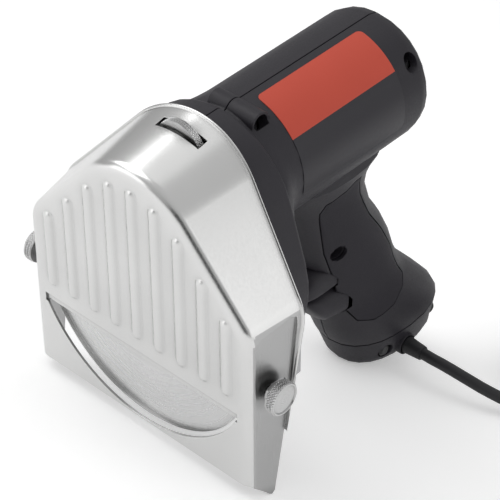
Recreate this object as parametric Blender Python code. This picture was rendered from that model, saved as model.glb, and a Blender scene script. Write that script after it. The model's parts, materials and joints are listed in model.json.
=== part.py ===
"""An electric kebab slicer: a hand-held motor that turns a round blade behind a pressed steel cover.

Everything is modelled in the tool's own frame, in metres: X to the right, Y back along the motor,
Z up, with y = 0 on the cover's front plate and z = 0 on that plate's lower edge. One empty then
tips the tool forward until it stands on the cover's two lower corners and the foot's front edge.
"""

import math

import bmesh
import bpy
from mathutils import Matrix, Vector

# Common clearances and facet counts.
FIT = 0.0003
OVERRUN = 0.012
ROUND_STEPS = 20
FINE_STEPS = 28
SMALL_STEPS = 10
SMOOTH_ANGLE = math.radians(32)
DRILL_TURN_SHARE = 0.37
MERGE = 0.000001
TILT_STEPS = 32

# Cover: a drawn sheet whose walls flare out behind a flat, ribbed front plate.
SHEET = 0.001
COVER_HALF_WIDTH = 0.0523
COVER_SHOULDER_RADIUS = 0.010
COVER_APEX_RADIUS = 0.0298
COVER_APEX_HEIGHT = 0.111
COVER_SHOULDER_HEIGHT = 0.068
COVER_FILLET = 0.0045
COVER_DRAFT_SHARE = 0.18
SHOULDER_ARC_STEPS = 3
APEX_ARC_STEPS = 10
FILLET_STEPS = 3
RIM_LOW_DEPTH = 0.0115
RIM_HIGH_DEPTH = 0.0352
RIM_LOW_HEIGHT = -0.009
RIM_HIGH_HEIGHT = 0.117
RIM_STRAIGHT_SHARE = 0.555
WALL_SHARES = (0.4, 0.8, 1.0)
CORNER_SLOPE = math.radians(42)
CORNER_START = 0.001
LIP_WIDTH = 0.0012
LIP_HEIGHT = 0.0007
LIP_SHARES = ((0.35, 0.75), (0.8, 1.0), (1.0, 0.6))

# Ribs pressed outward in the front plate.
RIB_COUNT = 9
RIB_PITCH = 0.0105
RIB_WIDTH = 0.005
RIB_RISE = 0.0009
RIB_BOTTOM = 0.0387
RIB_TOP_MARGIN = 0.007
RIB_END_STEPS = 2
RIB_STEPS = 20
RIB_INNER_STEPS = 12

# Crease, window and side pads of the cover.
CREASE_HEIGHT = 0.0324
CREASE_DEPTH = 0.0008
CREASE_HALF_WIDTH = 0.0468
WINDOW_TOP = 0.0297
WINDOW_HALF_WIDTH = 0.0463
WINDOW_STRIP = 0.0009
WINDOW_STEPS = 20
PAD_BASE = 0.00016
PAD_DRAFT_SHARE = 0.12
PAD_TOP = 0.066
PAD_TOP_DEPTH = 0.011
PAD_SHOULDER = 0.0637
PAD_SHOULDER_DEPTH = 0.0027
PAD_REAR_TOP = 0.0651
PAD_REAR_DEPTH = 0.0206
PAD_FOOT_DEPTH = 0.0118
PAD_STEPS = 5

# Blade and its spindle. The blade's centre is the centre of the window too.
BLADE_RADIUS = 0.0493
BLADE_HEIGHT = 0.0503
BLADE_FRONT = 0.0032
BLADE_THICKNESS = 0.0012
BLADE_GRIND = 0.004
BLADE_EDGE = 0.0003
BLADE_STEPS = 48
SCREW_HEAD_RADIUS = 0.0068
SCREW_NECK_RADIUS = 0.0054
BLADE_SCREW_RADIUS = 0.003
BLADE_SCREW_LENGTH = 0.013
HEX_RADIUS = 0.0024
HEX_DEPTH = 0.0022
DRIVE_SLOT_PLACE = 0.0098
DRIVE_LUG_RADIUS = 0.0016
FLANGE_RADIUS = 0.013
FLANGE_THICKNESS = 0.0025
SPINDLE_RADIUS = 0.0037
SPINDLE_TIP = 0.0411

# Two ball bearings in a flanged housing on the chassis plate.
BEARING_RADIUS = 0.011
BEARING_BORE = 0.004
BEARING_WIDTH = 0.007
BEARING_FRONT = 0.0093
BEARING_SPACING = 0.0095
BEARING_GROOVE = 0.0005
HUB_RADIUS = 0.015
HUB_FLANGE_RADIUS = 0.020
HUB_FLANGE_THICKNESS = 0.003
HUB_SHOULDER_RADIUS = 0.007
CHASSIS_FRONT = 0.030
CHASSIS_THICKNESS = 0.0027
CHASSIS_BORE = 0.0075

# Belt drive: 57 and 14 grooves, joined by a toothed belt.
PULLEY_FRONT = 0.0336
PULLEY_WIDTH = 0.0068
BLADE_GROOVES = 57
MOTOR_GROOVES = 14
BLADE_PULLEY_RADIUS = 0.0268
MOTOR_PULLEY_RADIUS = 0.0063
GROOVE_DEPTH = 0.0011
GROOVE_SHARES = ((0.0, 0.0), (0.5, 1.0))
BELT_INSET = 0.0004
BELT_THICKNESS = 0.0015
BELT_TOOTH = 0.0011
BELT_TOOTH_PITCH = 0.003
TOOTH_SHARES = ((-0.25, -1.0), (-0.18, 1.0), (0.18, 1.0), (0.25, -1.0))
BELT_TOOTH_CLEAR_LOW = 0.0085
BELT_TOOTH_CLEAR_HIGH = 0.0048
MOTOR_HEIGHT = 0.0873

# Motor.
MOTOR_SHAFT_RADIUS = 0.0025
MOTOR_CAN_RADIUS = 0.0192
MOTOR_CAN_FRONT = 0.0446
MOTOR_CAN_REAR = 0.106
MOTOR_NOSE_RADIUS = 0.0076
MOTOR_CAP_THICKNESS = 0.005
MOTOR_CAP_BOSS_RADIUS = 0.008
MOTOR_CAP_BOSS = 0.0045

# Housing: an egg-shaped gear case, a motor barrel and a handle, moulded as two halves.
WALL = 0.0032
EGG_LOW_RADIUS = 0.0413
EGG_LOW_HEIGHT = 0.056
EGG_HIGH_RADIUS = 0.034
EGG_HIGH_HEIGHT = 0.0805
EGG_REAR = 0.044
EGG_ROUND = 0.002
EGG_CROWN_STEPS = 14
EGG_BASE_STEPS = 19
EGG_FRONT_LOW = 0.018
EGG_FRONT_LOW_HEIGHT = 0.060
EGG_FRONT_HIGH = 0.030
EGG_CHUTE_HEIGHT = 0.0503
EGG_CHUTE_FRONT = 0.0314
BELT_CASE_REAR = 0.0415
BARREL_RADIUS = 0.0257
BARREL_REAR = 0.1287
BARREL_CORNER = 0.008
BARREL_TURN_SHARE = 0.98
BARREL_FRONT = 0.057
FLARE_SHARES = ((1.0, 0.13, -0.44), (0.77, 0.07, -0.21), (0.54, 0.025, -0.07), (0.27, 0.008, -0.02))
RING_INNER_RADIUS = 0.0195
RING_PLACES = (0.060, 0.098)
RING_WIDTH = 0.002
VENT_WIDTH = 0.0024
VENT_HALF_HEIGHT = 0.011
VENT_PITCH = 0.005
VENT_COUNT_EACH_SIDE = 3
VENT_START_SHARE = 0.8
SEAM = 0.00015

# Handle: superelliptic sections, as shares of its height, depth and half-width.
HANDLE_TOP = 0.066
HANDLE_FOOT = -0.031
HANDLE_FRONT = 0.100
HANDLE_DEPTH = 0.060
HANDLE_HALF_WIDTH = 0.0187
HANDLE_WALL = 0.0036
HANDLE_SQUARENESS_SHARE = 2.3
HANDLE_SECTION_STEPS = 24
INNER_SECTION_STEPS = 14
HANDLE_SHARES = (
    (0.0, 0.046, 1.0, 0.99),
    (0.053, 0.002, 0.95, 1.0),
    (0.116, -0.03, 0.865, 0.963),
    (0.179, -0.058, 0.775, 0.909),
    (0.242, -0.088, 0.683, 0.866),
    (0.305, -0.125, 0.592, 0.856),
    (0.389, -0.2, 0.525, 0.88),
    (0.495, -0.292, 0.467, 0.88),
    (0.611, -0.358, 0.375, 0.87),
    (0.705, -0.4, 0.277, 0.829),
    (0.832, -0.467, 0.217, 0.80),
    (0.905, -0.515, 0.237, 0.85),
    (0.955, -0.57, 0.28, 0.93),
    (1.0, -0.65, 0.35, 1.03),
    (1.1, -0.65, 0.36, 0.9),
)

# Foot cap, in line with the handle's lowest section.
CAP_BOTTOM = -0.0463
CAP_WALL = 0.0025
CAP_SECTIONS = (
    (-0.0315, 0.0030, 0.0003, 0.0003),
    (-0.0418, 0.0072, 0.0018, 0.0023),
    (-0.0448, 0.0090, 0.0032, 0.0039),
    (-0.0463, 0.0113, 0.0055, 0.0064),
)
CAP_EDGE_STEPS = 3
GROOVE_GAP = 0.0005

# Soft grip panels let into the handle's sides.
PANEL_THICKNESS = 0.0015
PANEL_GAP = 0.00035
PANEL_LOW = -0.0143
PANEL_HIGH = 0.0605
PANEL_FRONT = 0.074
PANEL_REAR = 0.1296
PANEL_SHARES = (
    (0.40, 1.0),
    (0.29, 0.968),
    (0.15, 0.945),
    (0.115, 0.90),
    (0.13, 0.83),
    (0.19, 0.60),
    (0.39, 0.18),
    (0.545, 0.0),
    (0.67, -0.03),
    (0.845, -0.008),
    (0.972, 0.062),
    (1.0, 0.115),
    (0.97, 0.157),
    (0.908, 0.253),
    (0.867, 0.36),
    (0.755, 0.516),
    (0.626, 0.662),
    (0.543, 0.785),
    (0.50, 0.87),
    (0.45, 1.0),
)

# Trigger: two finger lobes that slide back into the handle, and the switch behind them.
TRIGGER_HALF_WIDTH = 0.0130
TRIGGER_CREASE = 0.0082
TRIGGER_TOP = 0.0222
TRIGGER_BOTTOM = -0.0098
TRIGGER_FRONT = 0.0752
TRIGGER_REAR = 0.0988
TRIGGER_LAP = 0.0005
TRIGGER_WEB_SHARE = 0.85
TRIGGER_TRAVEL = 0.005
TRIGGER_SQUARENESS_SHARE = 2.8
LOBE_SHARES = ((0.0, 0.5), (0.03, 0.68), (0.1, 0.84), (0.22, 0.94), (0.42, 1.0), (1.0, 1.0))
LOWER_LOBE_LEAN_SHARE = 0.55
LEAN_REACH_SHARE = 0.7
LOBE_STEPS = 16
LOWER_LOBE_SETBACK = 0.0045
PLUNGER_RADIUS = 0.002
PLUNGER_HEIGHT = 0.007
PLUNGER_LENGTH = 0.008
SWITCH_FRONT = 0.1042
SWITCH_DEPTH = 0.016
SWITCH_HALF_WIDTH = 0.007
SWITCH_LOW = -0.004
SWITCH_HIGH = 0.018
SWITCH_BEVEL = 0.0008
CRADLE_INSET = 0.003

# Housing screws, each across the seam.
SHANK_RADIUS = 0.0014
HEAD_RADIUS = 0.0028
HEAD_THICKNESS = 0.0018
BOSS_RADIUS = 0.0038
COUNTERBORE_RADIUS = 0.0032
TOP_BOSS_RADIUS = 0.0043
TOP_BOSS_DEPTH = 0.0500
TOP_BOSS_HEIGHT = 0.110
TOP_BOSS_LEFT = -0.0085
TOP_BOSS_RIGHT = 0.0125
REAR_SCREW_DEPTH = 0.1198
REAR_SCREW_HEIGHT = 0.102
REAR_SCREW_SEAT = 0.013
HANDLE_SCREW_DEPTH = 0.090
HANDLE_SCREW_HEIGHT = 0.029
HANDLE_SCREW_SEAT = 0.0085
TOP_SCREW_SEAT = 0.0072
CAP_SCREW_HEIGHT = -0.0392
CAP_FRONT_SCREW_DEPTH = 0.1195
CAP_REAR_SCREW_DEPTH = 0.151
CAP_FRONT_SCREW_SEAT = 0.0132
CAP_REAR_SCREW_SEAT = 0.0107
CAP_SCREW_REACH = 0.007
LUG_FRONT_HALF_WIDTH = 0.0104
LUG_REAR_HALF_WIDTH = 0.0055
LUG_HALF_DEPTH = 0.0024
LUG_SHELF = 0.0045
LUG_TOP = -0.0288
LUG_BOTTOM = -0.0428

# Chassis fixings.
CHASSIS_SCREW_SIDE = 0.0332
CHASSIS_SCREW_SIDE_HEIGHT = 0.060
CHASSIS_SCREW_TOP = 0.014
CHASSIS_SCREW_TOP_HEIGHT = 0.098
CHASSIS_SCREW_REACH = 0.0085
CHASSIS_BOSS_RADIUS = 0.0036

# Side brackets that hold the cover, and their clamp knobs.
BRACKET_THICKNESS = 0.002
BRACKET_LOW = 0.036
BRACKET_HIGH = 0.0462
BRACKET_OUTER = 0.051
BRACKET_INNER = 0.0235
BRACKET_FRONT = 0.0052
KNOB_DEPTH = 0.009
KNOB_HEIGHT = 0.042
KNOB_RADIUS = 0.0065
KNOB_SEAT = 0.0549
KNOB_COLLAR_RADIUS = 0.0039
KNOB_COLLAR = 0.0019
KNOB_HEAD = 0.0038
KNOB_CHAMFER = 0.0007
KNOB_KNURLS = 24
KNURL_DEPTH = 0.00035
CLAMP_RADIUS = 0.002
CLAMP_TIP = 0.0478

# Thickness adjuster: a knurled nut held in a fork under the cover turns on a fixed screw.
SLIDE_TRAVEL = 0.005
WHEEL_RADIUS = 0.0103
WHEEL_HEIGHT = 0.1085
WHEEL_FRONT = 0.0232
WHEEL_THICKNESS = 0.0027
WHEEL_KNURLS = 26
WHEEL_SLOT_HALF_WIDTH = 0.0099
WHEEL_SLOT_MARGIN = 0.0009
ADJUSTER_RADIUS = 0.0025
ADJUSTER_TIP = 0.0145
ADJUSTER_PLATE_HALF_WIDTH = 0.0066
ADJUSTER_PLATE_LOW = 0.095
ADJUSTER_PLATE_HIGH = 0.1102
ADJUSTER_PLATE_THICKNESS = 0.0016
FORK_THICKNESS = 0.001
FORK_HALF_WIDTH = 0.008
FORK_TOP_GAP = 0.0004
FORK_WEB_GAP = 0.0005

# Mains lead, 1.8 m in all, and its plug.
CORD_RADIUS = 0.0024
EXIT_DEPTH = 0.129
EXIT_HEIGHT = -0.0402
EXIT_FACE = 0.0188
EXIT_BOSS_RADIUS = 0.0046
EXIT_BOSS_START = 0.009
GROMMET_START = 0.0106
GROMMET_END = 0.0268
GROMMET_RADIUS = 0.0036
GROMMET_TIP_RADIUS = 0.003
END_GAP = 0.0003
CORD_LENGTH = 1.8
CORD_STEP = 0.0072
CORD_RESOLUTION = 2
COIL_RESOLUTION = 1
CORD_ROUTE = (
    (0.0105, 0.0010),
    (0.0190, 0.0034),
    (0.0275, 0.0075),
    (0.0355, 0.0128),
    (0.0430, 0.0187),
    (0.0500, 0.0247),
)
CORD_DROP_SHARES = (0.96, 0.79, 0.51, 0.24, 0.07, 0.01)
COIL_JOIN = (0.0630, 0.0360)
COIL_HEADING = math.radians(41)
COIL_LAYERS = 4
COIL_TURN_POINTS = 24
COIL_MID_RADIUS = 0.0285
COIL_GAP = 0.00055
TAIL_SWEEP = math.radians(107)
TAIL_POINTS = 9
TAIL_GAP = 0.0006
TAIL_FALL_START_SHARE = 0.25
TIE_THICKNESS = 0.0008
TIE_WIDTH = 0.005
TIE_CORNER = 0.002
PLUG_LENGTH = 0.0353
PLUG_WIDTH = 0.026
PLUG_THICKNESS = 0.0137
PLUG_NECK_LENGTH = 0.014
PLUG_NECK_RADIUS = 0.0033
PLUG_SHARES = ((0.0, 0.34, 0.62), (0.12, 0.62, 0.8), (0.35, 0.86, 0.97), (0.6, 1.0, 1.0), (1.0, 1.0, 1.0))
PLUG_SQUARENESS_SHARE = 3.2
PLUG_STEPS = 20
PIN_RADIUS = 0.002
PIN_LENGTH = 0.019
PIN_PITCH = 0.0176


def clear_scene():
    """Remove whatever the new file holds."""
    for item in list(bpy.data.objects):
        bpy.data.objects.remove(item)


def finish(name, colour, metallic, roughness):
    """Return one Principled material."""
    made = bpy.data.materials.new(name)
    made.use_nodes = True
    shader = made.node_tree.nodes["Principled BSDF"]
    shader.inputs["Base Color"].default_value = (*colour, 1)
    shader.inputs["Metallic"].default_value = metallic
    shader.inputs["Roughness"].default_value = roughness
    made.diffuse_color = (*colour, 1)
    return made


def solid(name, mesh, material=None):
    """Turn a bmesh into an object with outward normals and soft round sides."""
    bmesh.ops.recalc_face_normals(mesh, faces=mesh.faces[:])
    data = bpy.data.meshes.new(name)
    mesh.to_mesh(data)
    mesh.free()
    data.shade_smooth()
    data.set_sharp_from_angle(angle=SMOOTH_ANGLE)
    if material:
        data.materials.append(material)
    made = bpy.data.objects.new(name, data)
    bpy.context.scene.collection.objects.link(made)
    return made


def on_plane(axis, across, up, along):
    """Place a flat point on the plane square to an axis, at a distance along it."""
    if axis == "X":
        return Vector((along, across, up))
    if axis == "Y":
        return Vector((across, along, up))
    return Vector((across, up, along))


def prism(name, outline, axis, low, high, material=None):
    """Extrude a flat outline along an axis, from low to high."""
    mesh = bmesh.new()
    corners = [mesh.verts.new(on_plane(axis, across, up, low)) for across, up in outline]
    face = mesh.faces.new(corners)
    grown = bmesh.ops.extrude_face_region(mesh, geom=[face])
    moved = [item for item in grown["geom"] if isinstance(item, bmesh.types.BMVert)]
    bmesh.ops.translate(mesh, verts=moved, vec=on_plane(axis, 0, 0, high - low))
    return solid(name, mesh, material)


def block(name, low, high, material=None):
    """Make a box between two corners."""
    outline = [(low[1], low[2]), (high[1], low[2]), (high[1], high[2]), (low[1], high[2])]
    return prism(name, outline, "X", low[0], high[0], material)


def turned(name, profile, axis, centre, steps, material=None):
    """Revolve (along, radius) points about an axis through a flat centre, and cap flat ends."""
    points = list(profile)
    if points[0][1] == 0 and points[0][0] == points[1][0]:
        points = points[1:]
    if points[-1][1] == 0 and points[-1][0] == points[-2][0]:
        points = points[:-1]
    mesh = bmesh.new()
    corners = []
    for along, radius in points:
        corners.append(mesh.verts.new(on_plane(axis, centre[0], centre[1] + radius, along)))
    edges = [mesh.edges.new(pair) for pair in zip(corners, corners[1:])]
    if min(radius for _, radius in profile) > 0:
        edges.append(mesh.edges.new((corners[-1], corners[0])))
    bmesh.ops.spin(
        mesh,
        geom=corners + edges,
        cent=on_plane(axis, centre[0], centre[1], 0),
        axis=on_plane(axis, 0, 0, 1),
        angle=math.tau,
        steps=steps,
        use_merge=True,
    )
    bmesh.ops.remove_doubles(mesh, verts=mesh.verts[:], dist=MERGE)
    rims = [edge for edge in mesh.edges if edge.is_boundary]
    if rims:
        bmesh.ops.holes_fill(mesh, edges=rims, sides=0)
    return solid(name, mesh, material)


def bar(name, axis, centre, low, high, radius, steps=SMALL_STEPS, material=None, turn_share=0):
    """Make a plain round bar along an axis; turn_share turns its facets by part of a step."""
    start = math.tau * turn_share / steps
    outline = arc(centre, radius, start, start + math.tau * (1 - 1 / steps), steps - 1)
    return prism(name, outline, axis, low, high, material)


def drill(axis, centre, low, high, radius, steps=SMALL_STEPS):
    """Return a round cutter, its facets turned away from those of the solids it cuts."""
    return bar("drill", axis, centre, low, high, radius, steps, None, DRILL_TURN_SHARE)


def lofted(name, rings, material=None):
    """Skin a row of closed rings that have equal counts of points, and cap both ends."""
    mesh = bmesh.new()
    loops = [[mesh.verts.new(point) for point in ring] for ring in rings]
    for first, second in zip(loops, loops[1:]):
        for index in range(len(first)):
            after = (index + 1) % len(first)
            mesh.faces.new((first[index], first[after], second[after], second[index]))
    mesh.faces.new(reversed(loops[0]))
    mesh.faces.new(loops[-1])
    return solid(name, mesh, material)


def carve(target, cutter, operation="DIFFERENCE"):
    """Apply one exact Boolean and remove the tool object."""
    modifier = target.modifiers.new(operation.title(), "BOOLEAN")
    modifier.operation = operation
    modifier.solver = "EXACT"
    modifier.object = cutter
    graph = bpy.context.evaluated_depsgraph_get()
    result = bpy.data.meshes.new_from_object(target.evaluated_get(graph))
    target.modifiers.clear()
    target.data = result
    bpy.data.objects.remove(cutter)


def join(target, addition):
    """Fuse a second solid with the first."""
    carve(target, addition, "UNION")


def superellipse(half_across, half_up, squareness, steps):
    """Return the points of a superellipse about the origin."""
    points = []
    for step in range(steps):
        angle = math.tau * step / steps
        across = math.copysign(abs(math.cos(angle)) ** (2 / squareness), math.cos(angle))
        up = math.copysign(abs(math.sin(angle)) ** (2 / squareness), math.sin(angle))
        points.append((half_across * across, half_up * up))
    return points


def arc(centre, radius, start, end, steps):
    """Return points on an arc, both ends included."""
    points = []
    for step in range(steps + 1):
        angle = start + (end - start) * step / steps
        points.append((centre[0] + radius * math.cos(angle), centre[1] + radius * math.sin(angle)))
    return points


def slope_normal():
    """Return the angle of the cover slope's outward normal above the horizontal."""
    centre_height = COVER_APEX_HEIGHT - COVER_APEX_RADIUS
    drop = COVER_SHOULDER_HEIGHT - centre_height
    reach = math.hypot(COVER_HALF_WIDTH, drop)
    return math.acos(COVER_APEX_RADIUS / reach) + math.atan2(drop, COVER_HALF_WIDTH)


def cover_outline(offset, bottom):
    """Return the cover's open outline, left foot to right foot, moved outward by offset."""
    normal = slope_normal()
    apex = (0, COVER_APEX_HEIGHT - COVER_APEX_RADIUS)
    inset = COVER_HALF_WIDTH - COVER_SHOULDER_RADIUS
    rise = COVER_APEX_RADIUS - COVER_SHOULDER_RADIUS - math.cos(normal) * inset
    shoulder = (inset, apex[1] + rise / math.sin(normal))
    right = [(COVER_HALF_WIDTH + offset, bottom)]
    right += arc(shoulder, COVER_SHOULDER_RADIUS + offset, 0, normal, SHOULDER_ARC_STEPS)
    crown = arc(apex, COVER_APEX_RADIUS + offset, normal, math.pi - normal, APEX_ARC_STEPS)
    left = [(-across, up) for across, up in reversed(right)]
    return right + crown + left


def rim_depth(height):
    """Return how far back the cover's rim lies at a height."""
    share = (height - RIM_LOW_HEIGHT) / (RIM_HIGH_HEIGHT - RIM_LOW_HEIGHT)
    bend = RIM_STRAIGHT_SHARE * share + (1 - RIM_STRAIGHT_SHARE) * share * share
    return RIM_LOW_DEPTH + (RIM_HIGH_DEPTH - RIM_LOW_DEPTH) * bend


def corner_height(depth):
    """Return the height of the side wall's lower edge at a depth."""
    dropped = -math.tan(CORNER_SLOPE) * max(0, depth - CORNER_START)
    return max(RIM_LOW_HEIGHT, dropped)


def rib_places():
    """Return where each rib stands, left to right."""
    middle = (RIB_COUNT - 1) / 2
    return [(index - middle) * RIB_PITCH for index in range(RIB_COUNT)]


def plate_top(across):
    """Return the height of the front plate's upper edge above a place."""
    normal = slope_normal()
    centre_height = COVER_APEX_HEIGHT - COVER_APEX_RADIUS
    if abs(across) < COVER_APEX_RADIUS * math.cos(normal):
        return centre_height + math.sqrt(COVER_APEX_RADIUS**2 - across**2)
    return COVER_SHOULDER_HEIGHT + (COVER_HALF_WIDTH - abs(across)) / math.tan(normal)


def rib_form(across, inward):
    """Return one rib's long dome, set in by the sheet where it shapes the inner face."""
    radius = (RIB_WIDTH * RIB_WIDTH / 4 + RIB_RISE * RIB_RISE) / (2 * RIB_RISE)
    depth = radius - RIB_RISE
    reach = radius - inward
    low = RIB_BOTTOM + RIB_WIDTH / 2
    high = plate_top(across) - RIB_TOP_MARGIN - RIB_WIDTH / 2
    quarter = math.pi / 2
    profile = [(low - reach * math.cos(quarter * step / RIB_END_STEPS / 2),
                reach * math.sin(quarter * step / RIB_END_STEPS / 2))
               for step in range(2 * RIB_END_STEPS + 1)]
    profile += [(high + reach * math.sin(quarter * step / RIB_END_STEPS / 2),
                 reach * math.cos(quarter * step / RIB_END_STEPS / 2))
                for step in range(2 * RIB_END_STEPS)]
    profile.append((high + reach, 0))
    steps = RIB_INNER_STEPS if inward else RIB_STEPS
    return turned("rib", profile, "Z", (across, depth), steps)


def pad_form(side, inward):
    """Return the cutter that flattens a side wall into the pad under the clamp knob."""
    rise = math.hypot(PAD_TOP_DEPTH - PAD_SHOULDER_DEPTH, PAD_TOP - PAD_SHOULDER)
    top = [(-OVERRUN, PAD_SHOULDER - rise)]
    for step in range(PAD_STEPS + 1):
        share = step / PAD_STEPS
        depth = PAD_SHOULDER_DEPTH + (PAD_REAR_DEPTH - PAD_SHOULDER_DEPTH) * share
        ends = PAD_SHOULDER + (PAD_REAR_TOP - PAD_SHOULDER) * share
        bow = (PAD_TOP - (PAD_SHOULDER + PAD_REAR_TOP) / 2) * 4 * share * (1 - share)
        top.append((depth, ends + bow))
    outline = top + [(PAD_FOOT_DEPTH, RIM_LOW_HEIGHT - OVERRUN), (-OVERRUN, RIM_LOW_HEIGHT - OVERRUN)]
    base = COVER_HALF_WIDTH + PAD_BASE - inward
    near = [Vector((side * (base + PAD_DRAFT_SHARE * depth), depth, height)) for depth, height in outline]
    far = [Vector((side * (base + OVERRUN), depth, height)) for depth, height in outline]
    return lofted("pad", [near, far])


def cover_form(inward):
    """Return the cover as a filled block; inward moves every face in by the sheet's thickness."""
    lean = math.atan(COVER_DRAFT_SHARE)
    outer_face = inward == 0
    extra = 0 if outer_face else OVERRUN
    radius = COVER_FILLET - inward
    centre = COVER_DRAFT_SHARE * COVER_FILLET - COVER_FILLET / math.cos(lean)
    rings = []
    for step in range(FILLET_STEPS + 1):
        angle = -math.pi / 2 + (math.pi / 2 - lean) * step / FILLET_STEPS
        depth = COVER_FILLET + radius * math.sin(angle)
        offset = centre + radius * math.cos(angle)
        outline = cover_outline(offset, corner_height(depth) - extra)
        rings.append([Vector((across, depth, up)) for across, up in outline])
    start = COVER_FILLET - radius * math.sin(lean)
    for share in WALL_SHARES:
        level = start + (rim_depth(RIM_LOW_HEIGHT) - start) * share
        bottom = corner_height(level) - extra
        ring = []
        for index, (across, up) in enumerate(cover_outline(0, bottom)):
            rim = rim_depth(up) - (LIP_WIDTH if outer_face else -extra)
            depth = start + (rim - start) * share
            offset = COVER_DRAFT_SHARE * depth - inward / math.cos(lean)
            moved = cover_outline(offset, bottom)[index]
            ring.append(Vector((moved[0], depth, moved[1])))
        rings.append(ring)
    for along, out in LIP_SHARES if outer_face else ():
        ring = []
        bottom = RIM_LOW_HEIGHT + LIP_WIDTH * along
        for index, (across, up) in enumerate(cover_outline(0, bottom)):
            depth = rim_depth(up) - LIP_WIDTH * (1 - along)
            offset = COVER_DRAFT_SHARE * depth + LIP_HEIGHT * out
            moved = cover_outline(offset, bottom)[index]
            ring.append(Vector((moved[0], depth, moved[1])))
        rings.append(ring)
    form = lofted("cover_form", rings)
    for across in rib_places():
        join(form, rib_form(across, inward))
    wedge = [
        (inward, CREASE_HEIGHT),
        (inward + CREASE_DEPTH, WINDOW_TOP),
        (inward + CREASE_DEPTH, -OVERRUN),
        (-OVERRUN, -OVERRUN),
        (-OVERRUN, CREASE_HEIGHT),
    ]
    window_low = window_outline(CREASE_HEIGHT)
    fold = prism("fold", wedge, "X", -CREASE_HALF_WIDTH, CREASE_HALF_WIDTH)
    keep = prism("keep", window_low, "Y", -2 * OVERRUN, OVERRUN)
    carve(fold, keep, "INTERSECT")
    carve(form, fold)
    for side in (-1, 1):
        carve(form, pad_form(side, inward))
    return form


def window_outline(top):
    """Return the round-bottomed window below a height, as flat points."""
    rise = WINDOW_TOP - WINDOW_STRIP
    radius = (WINDOW_HALF_WIDTH**2 + rise**2) / (2 * rise)
    centre = WINDOW_STRIP + radius
    turn = math.acos((centre - top) / radius)
    return arc((0, centre), radius, -math.pi / 2 - turn, -math.pi / 2 + turn, WINDOW_STEPS)


def knob_slot_outline():
    """Return the slot that lets the cover slide past the clamp screws."""
    radius = CLAMP_RADIUS + FIT
    front = arc((KNOB_DEPTH, KNOB_HEIGHT), radius, math.pi / 2, 3 * math.pi / 2, SMALL_STEPS // 2)
    centre = (KNOB_DEPTH + SLIDE_TRAVEL, KNOB_HEIGHT)
    rear = arc(centre, radius, -math.pi / 2, math.pi / 2, SMALL_STEPS // 2)
    return front + rear


def make_cover(steel):
    """Press the cover: outer form less inner form, then the window and the slots."""
    cover = cover_form(0)
    cover.name = "cover"
    carve(cover, cover_form(SHEET))
    carve(cover, prism("window", window_outline(WINDOW_TOP), "Y", -OVERRUN, OVERRUN))
    reach = COVER_HALF_WIDTH + OVERRUN
    side_slot = prism("slot", knob_slot_outline(), "X", -reach, reach)
    carve(cover, side_slot)
    low = (-WHEEL_SLOT_HALF_WIDTH, WHEEL_FRONT - WHEEL_SLOT_MARGIN, WHEEL_HEIGHT)
    high = (WHEEL_SLOT_HALF_WIDTH, WHEEL_FRONT + WHEEL_THICKNESS + WHEEL_SLOT_MARGIN, WHEEL_HEIGHT + OVERRUN)
    carve(cover, block("wheel_slot", low, high))
    dress(cover, steel)
    return cover


def dress(target, material):
    """Give a carved solid its one material and its shading."""
    target.data.materials.clear()
    target.data.materials.append(material)
    target.data.shade_smooth()
    target.data.set_sharp_from_angle(angle=SMOOTH_ANGLE)


def make_blade(steel):
    """Turn the blade: flat in front, ground from behind, with a countersunk hole and drive slots."""
    rear = BLADE_FRONT + BLADE_THICKNESS
    profile = [
        (BLADE_FRONT, SCREW_HEAD_RADIUS + FIT),
        (BLADE_FRONT, BLADE_RADIUS),
        (BLADE_FRONT + BLADE_EDGE, BLADE_RADIUS),
        (rear, BLADE_RADIUS - BLADE_GRIND),
        (rear, SCREW_NECK_RADIUS + FIT),
    ]
    blade = turned("blade", profile, "Y", (0, BLADE_HEIGHT), BLADE_STEPS)
    for side in (-1, 1):
        place = (side * DRIVE_SLOT_PLACE, BLADE_HEIGHT)
        radius = DRIVE_LUG_RADIUS + FIT
        carve(blade, drill("Y", place, BLADE_FRONT - SHEET, rear + SHEET, radius))
    dress(blade, steel)
    return blade


def make_blade_screw(steel):
    """Turn the flush screw that holds the blade, with a hexagon socket."""
    rear = BLADE_FRONT + BLADE_THICKNESS
    profile = [
        (BLADE_FRONT, 0),
        (BLADE_FRONT, SCREW_HEAD_RADIUS),
        (rear, SCREW_NECK_RADIUS),
        (rear, BLADE_SCREW_RADIUS),
        (rear + BLADE_SCREW_LENGTH, BLADE_SCREW_RADIUS),
        (rear + BLADE_SCREW_LENGTH, 0),
    ]
    screw = turned("blade_screw", profile, "Y", (0, BLADE_HEIGHT), ROUND_STEPS)
    socket = arc((0, BLADE_HEIGHT), HEX_RADIUS, 0, math.tau * 5 / 6, 5)
    carve(screw, prism("socket", socket, "Y", BLADE_FRONT - SHEET, BLADE_FRONT + HEX_DEPTH))
    dress(screw, steel)
    return screw


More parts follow.
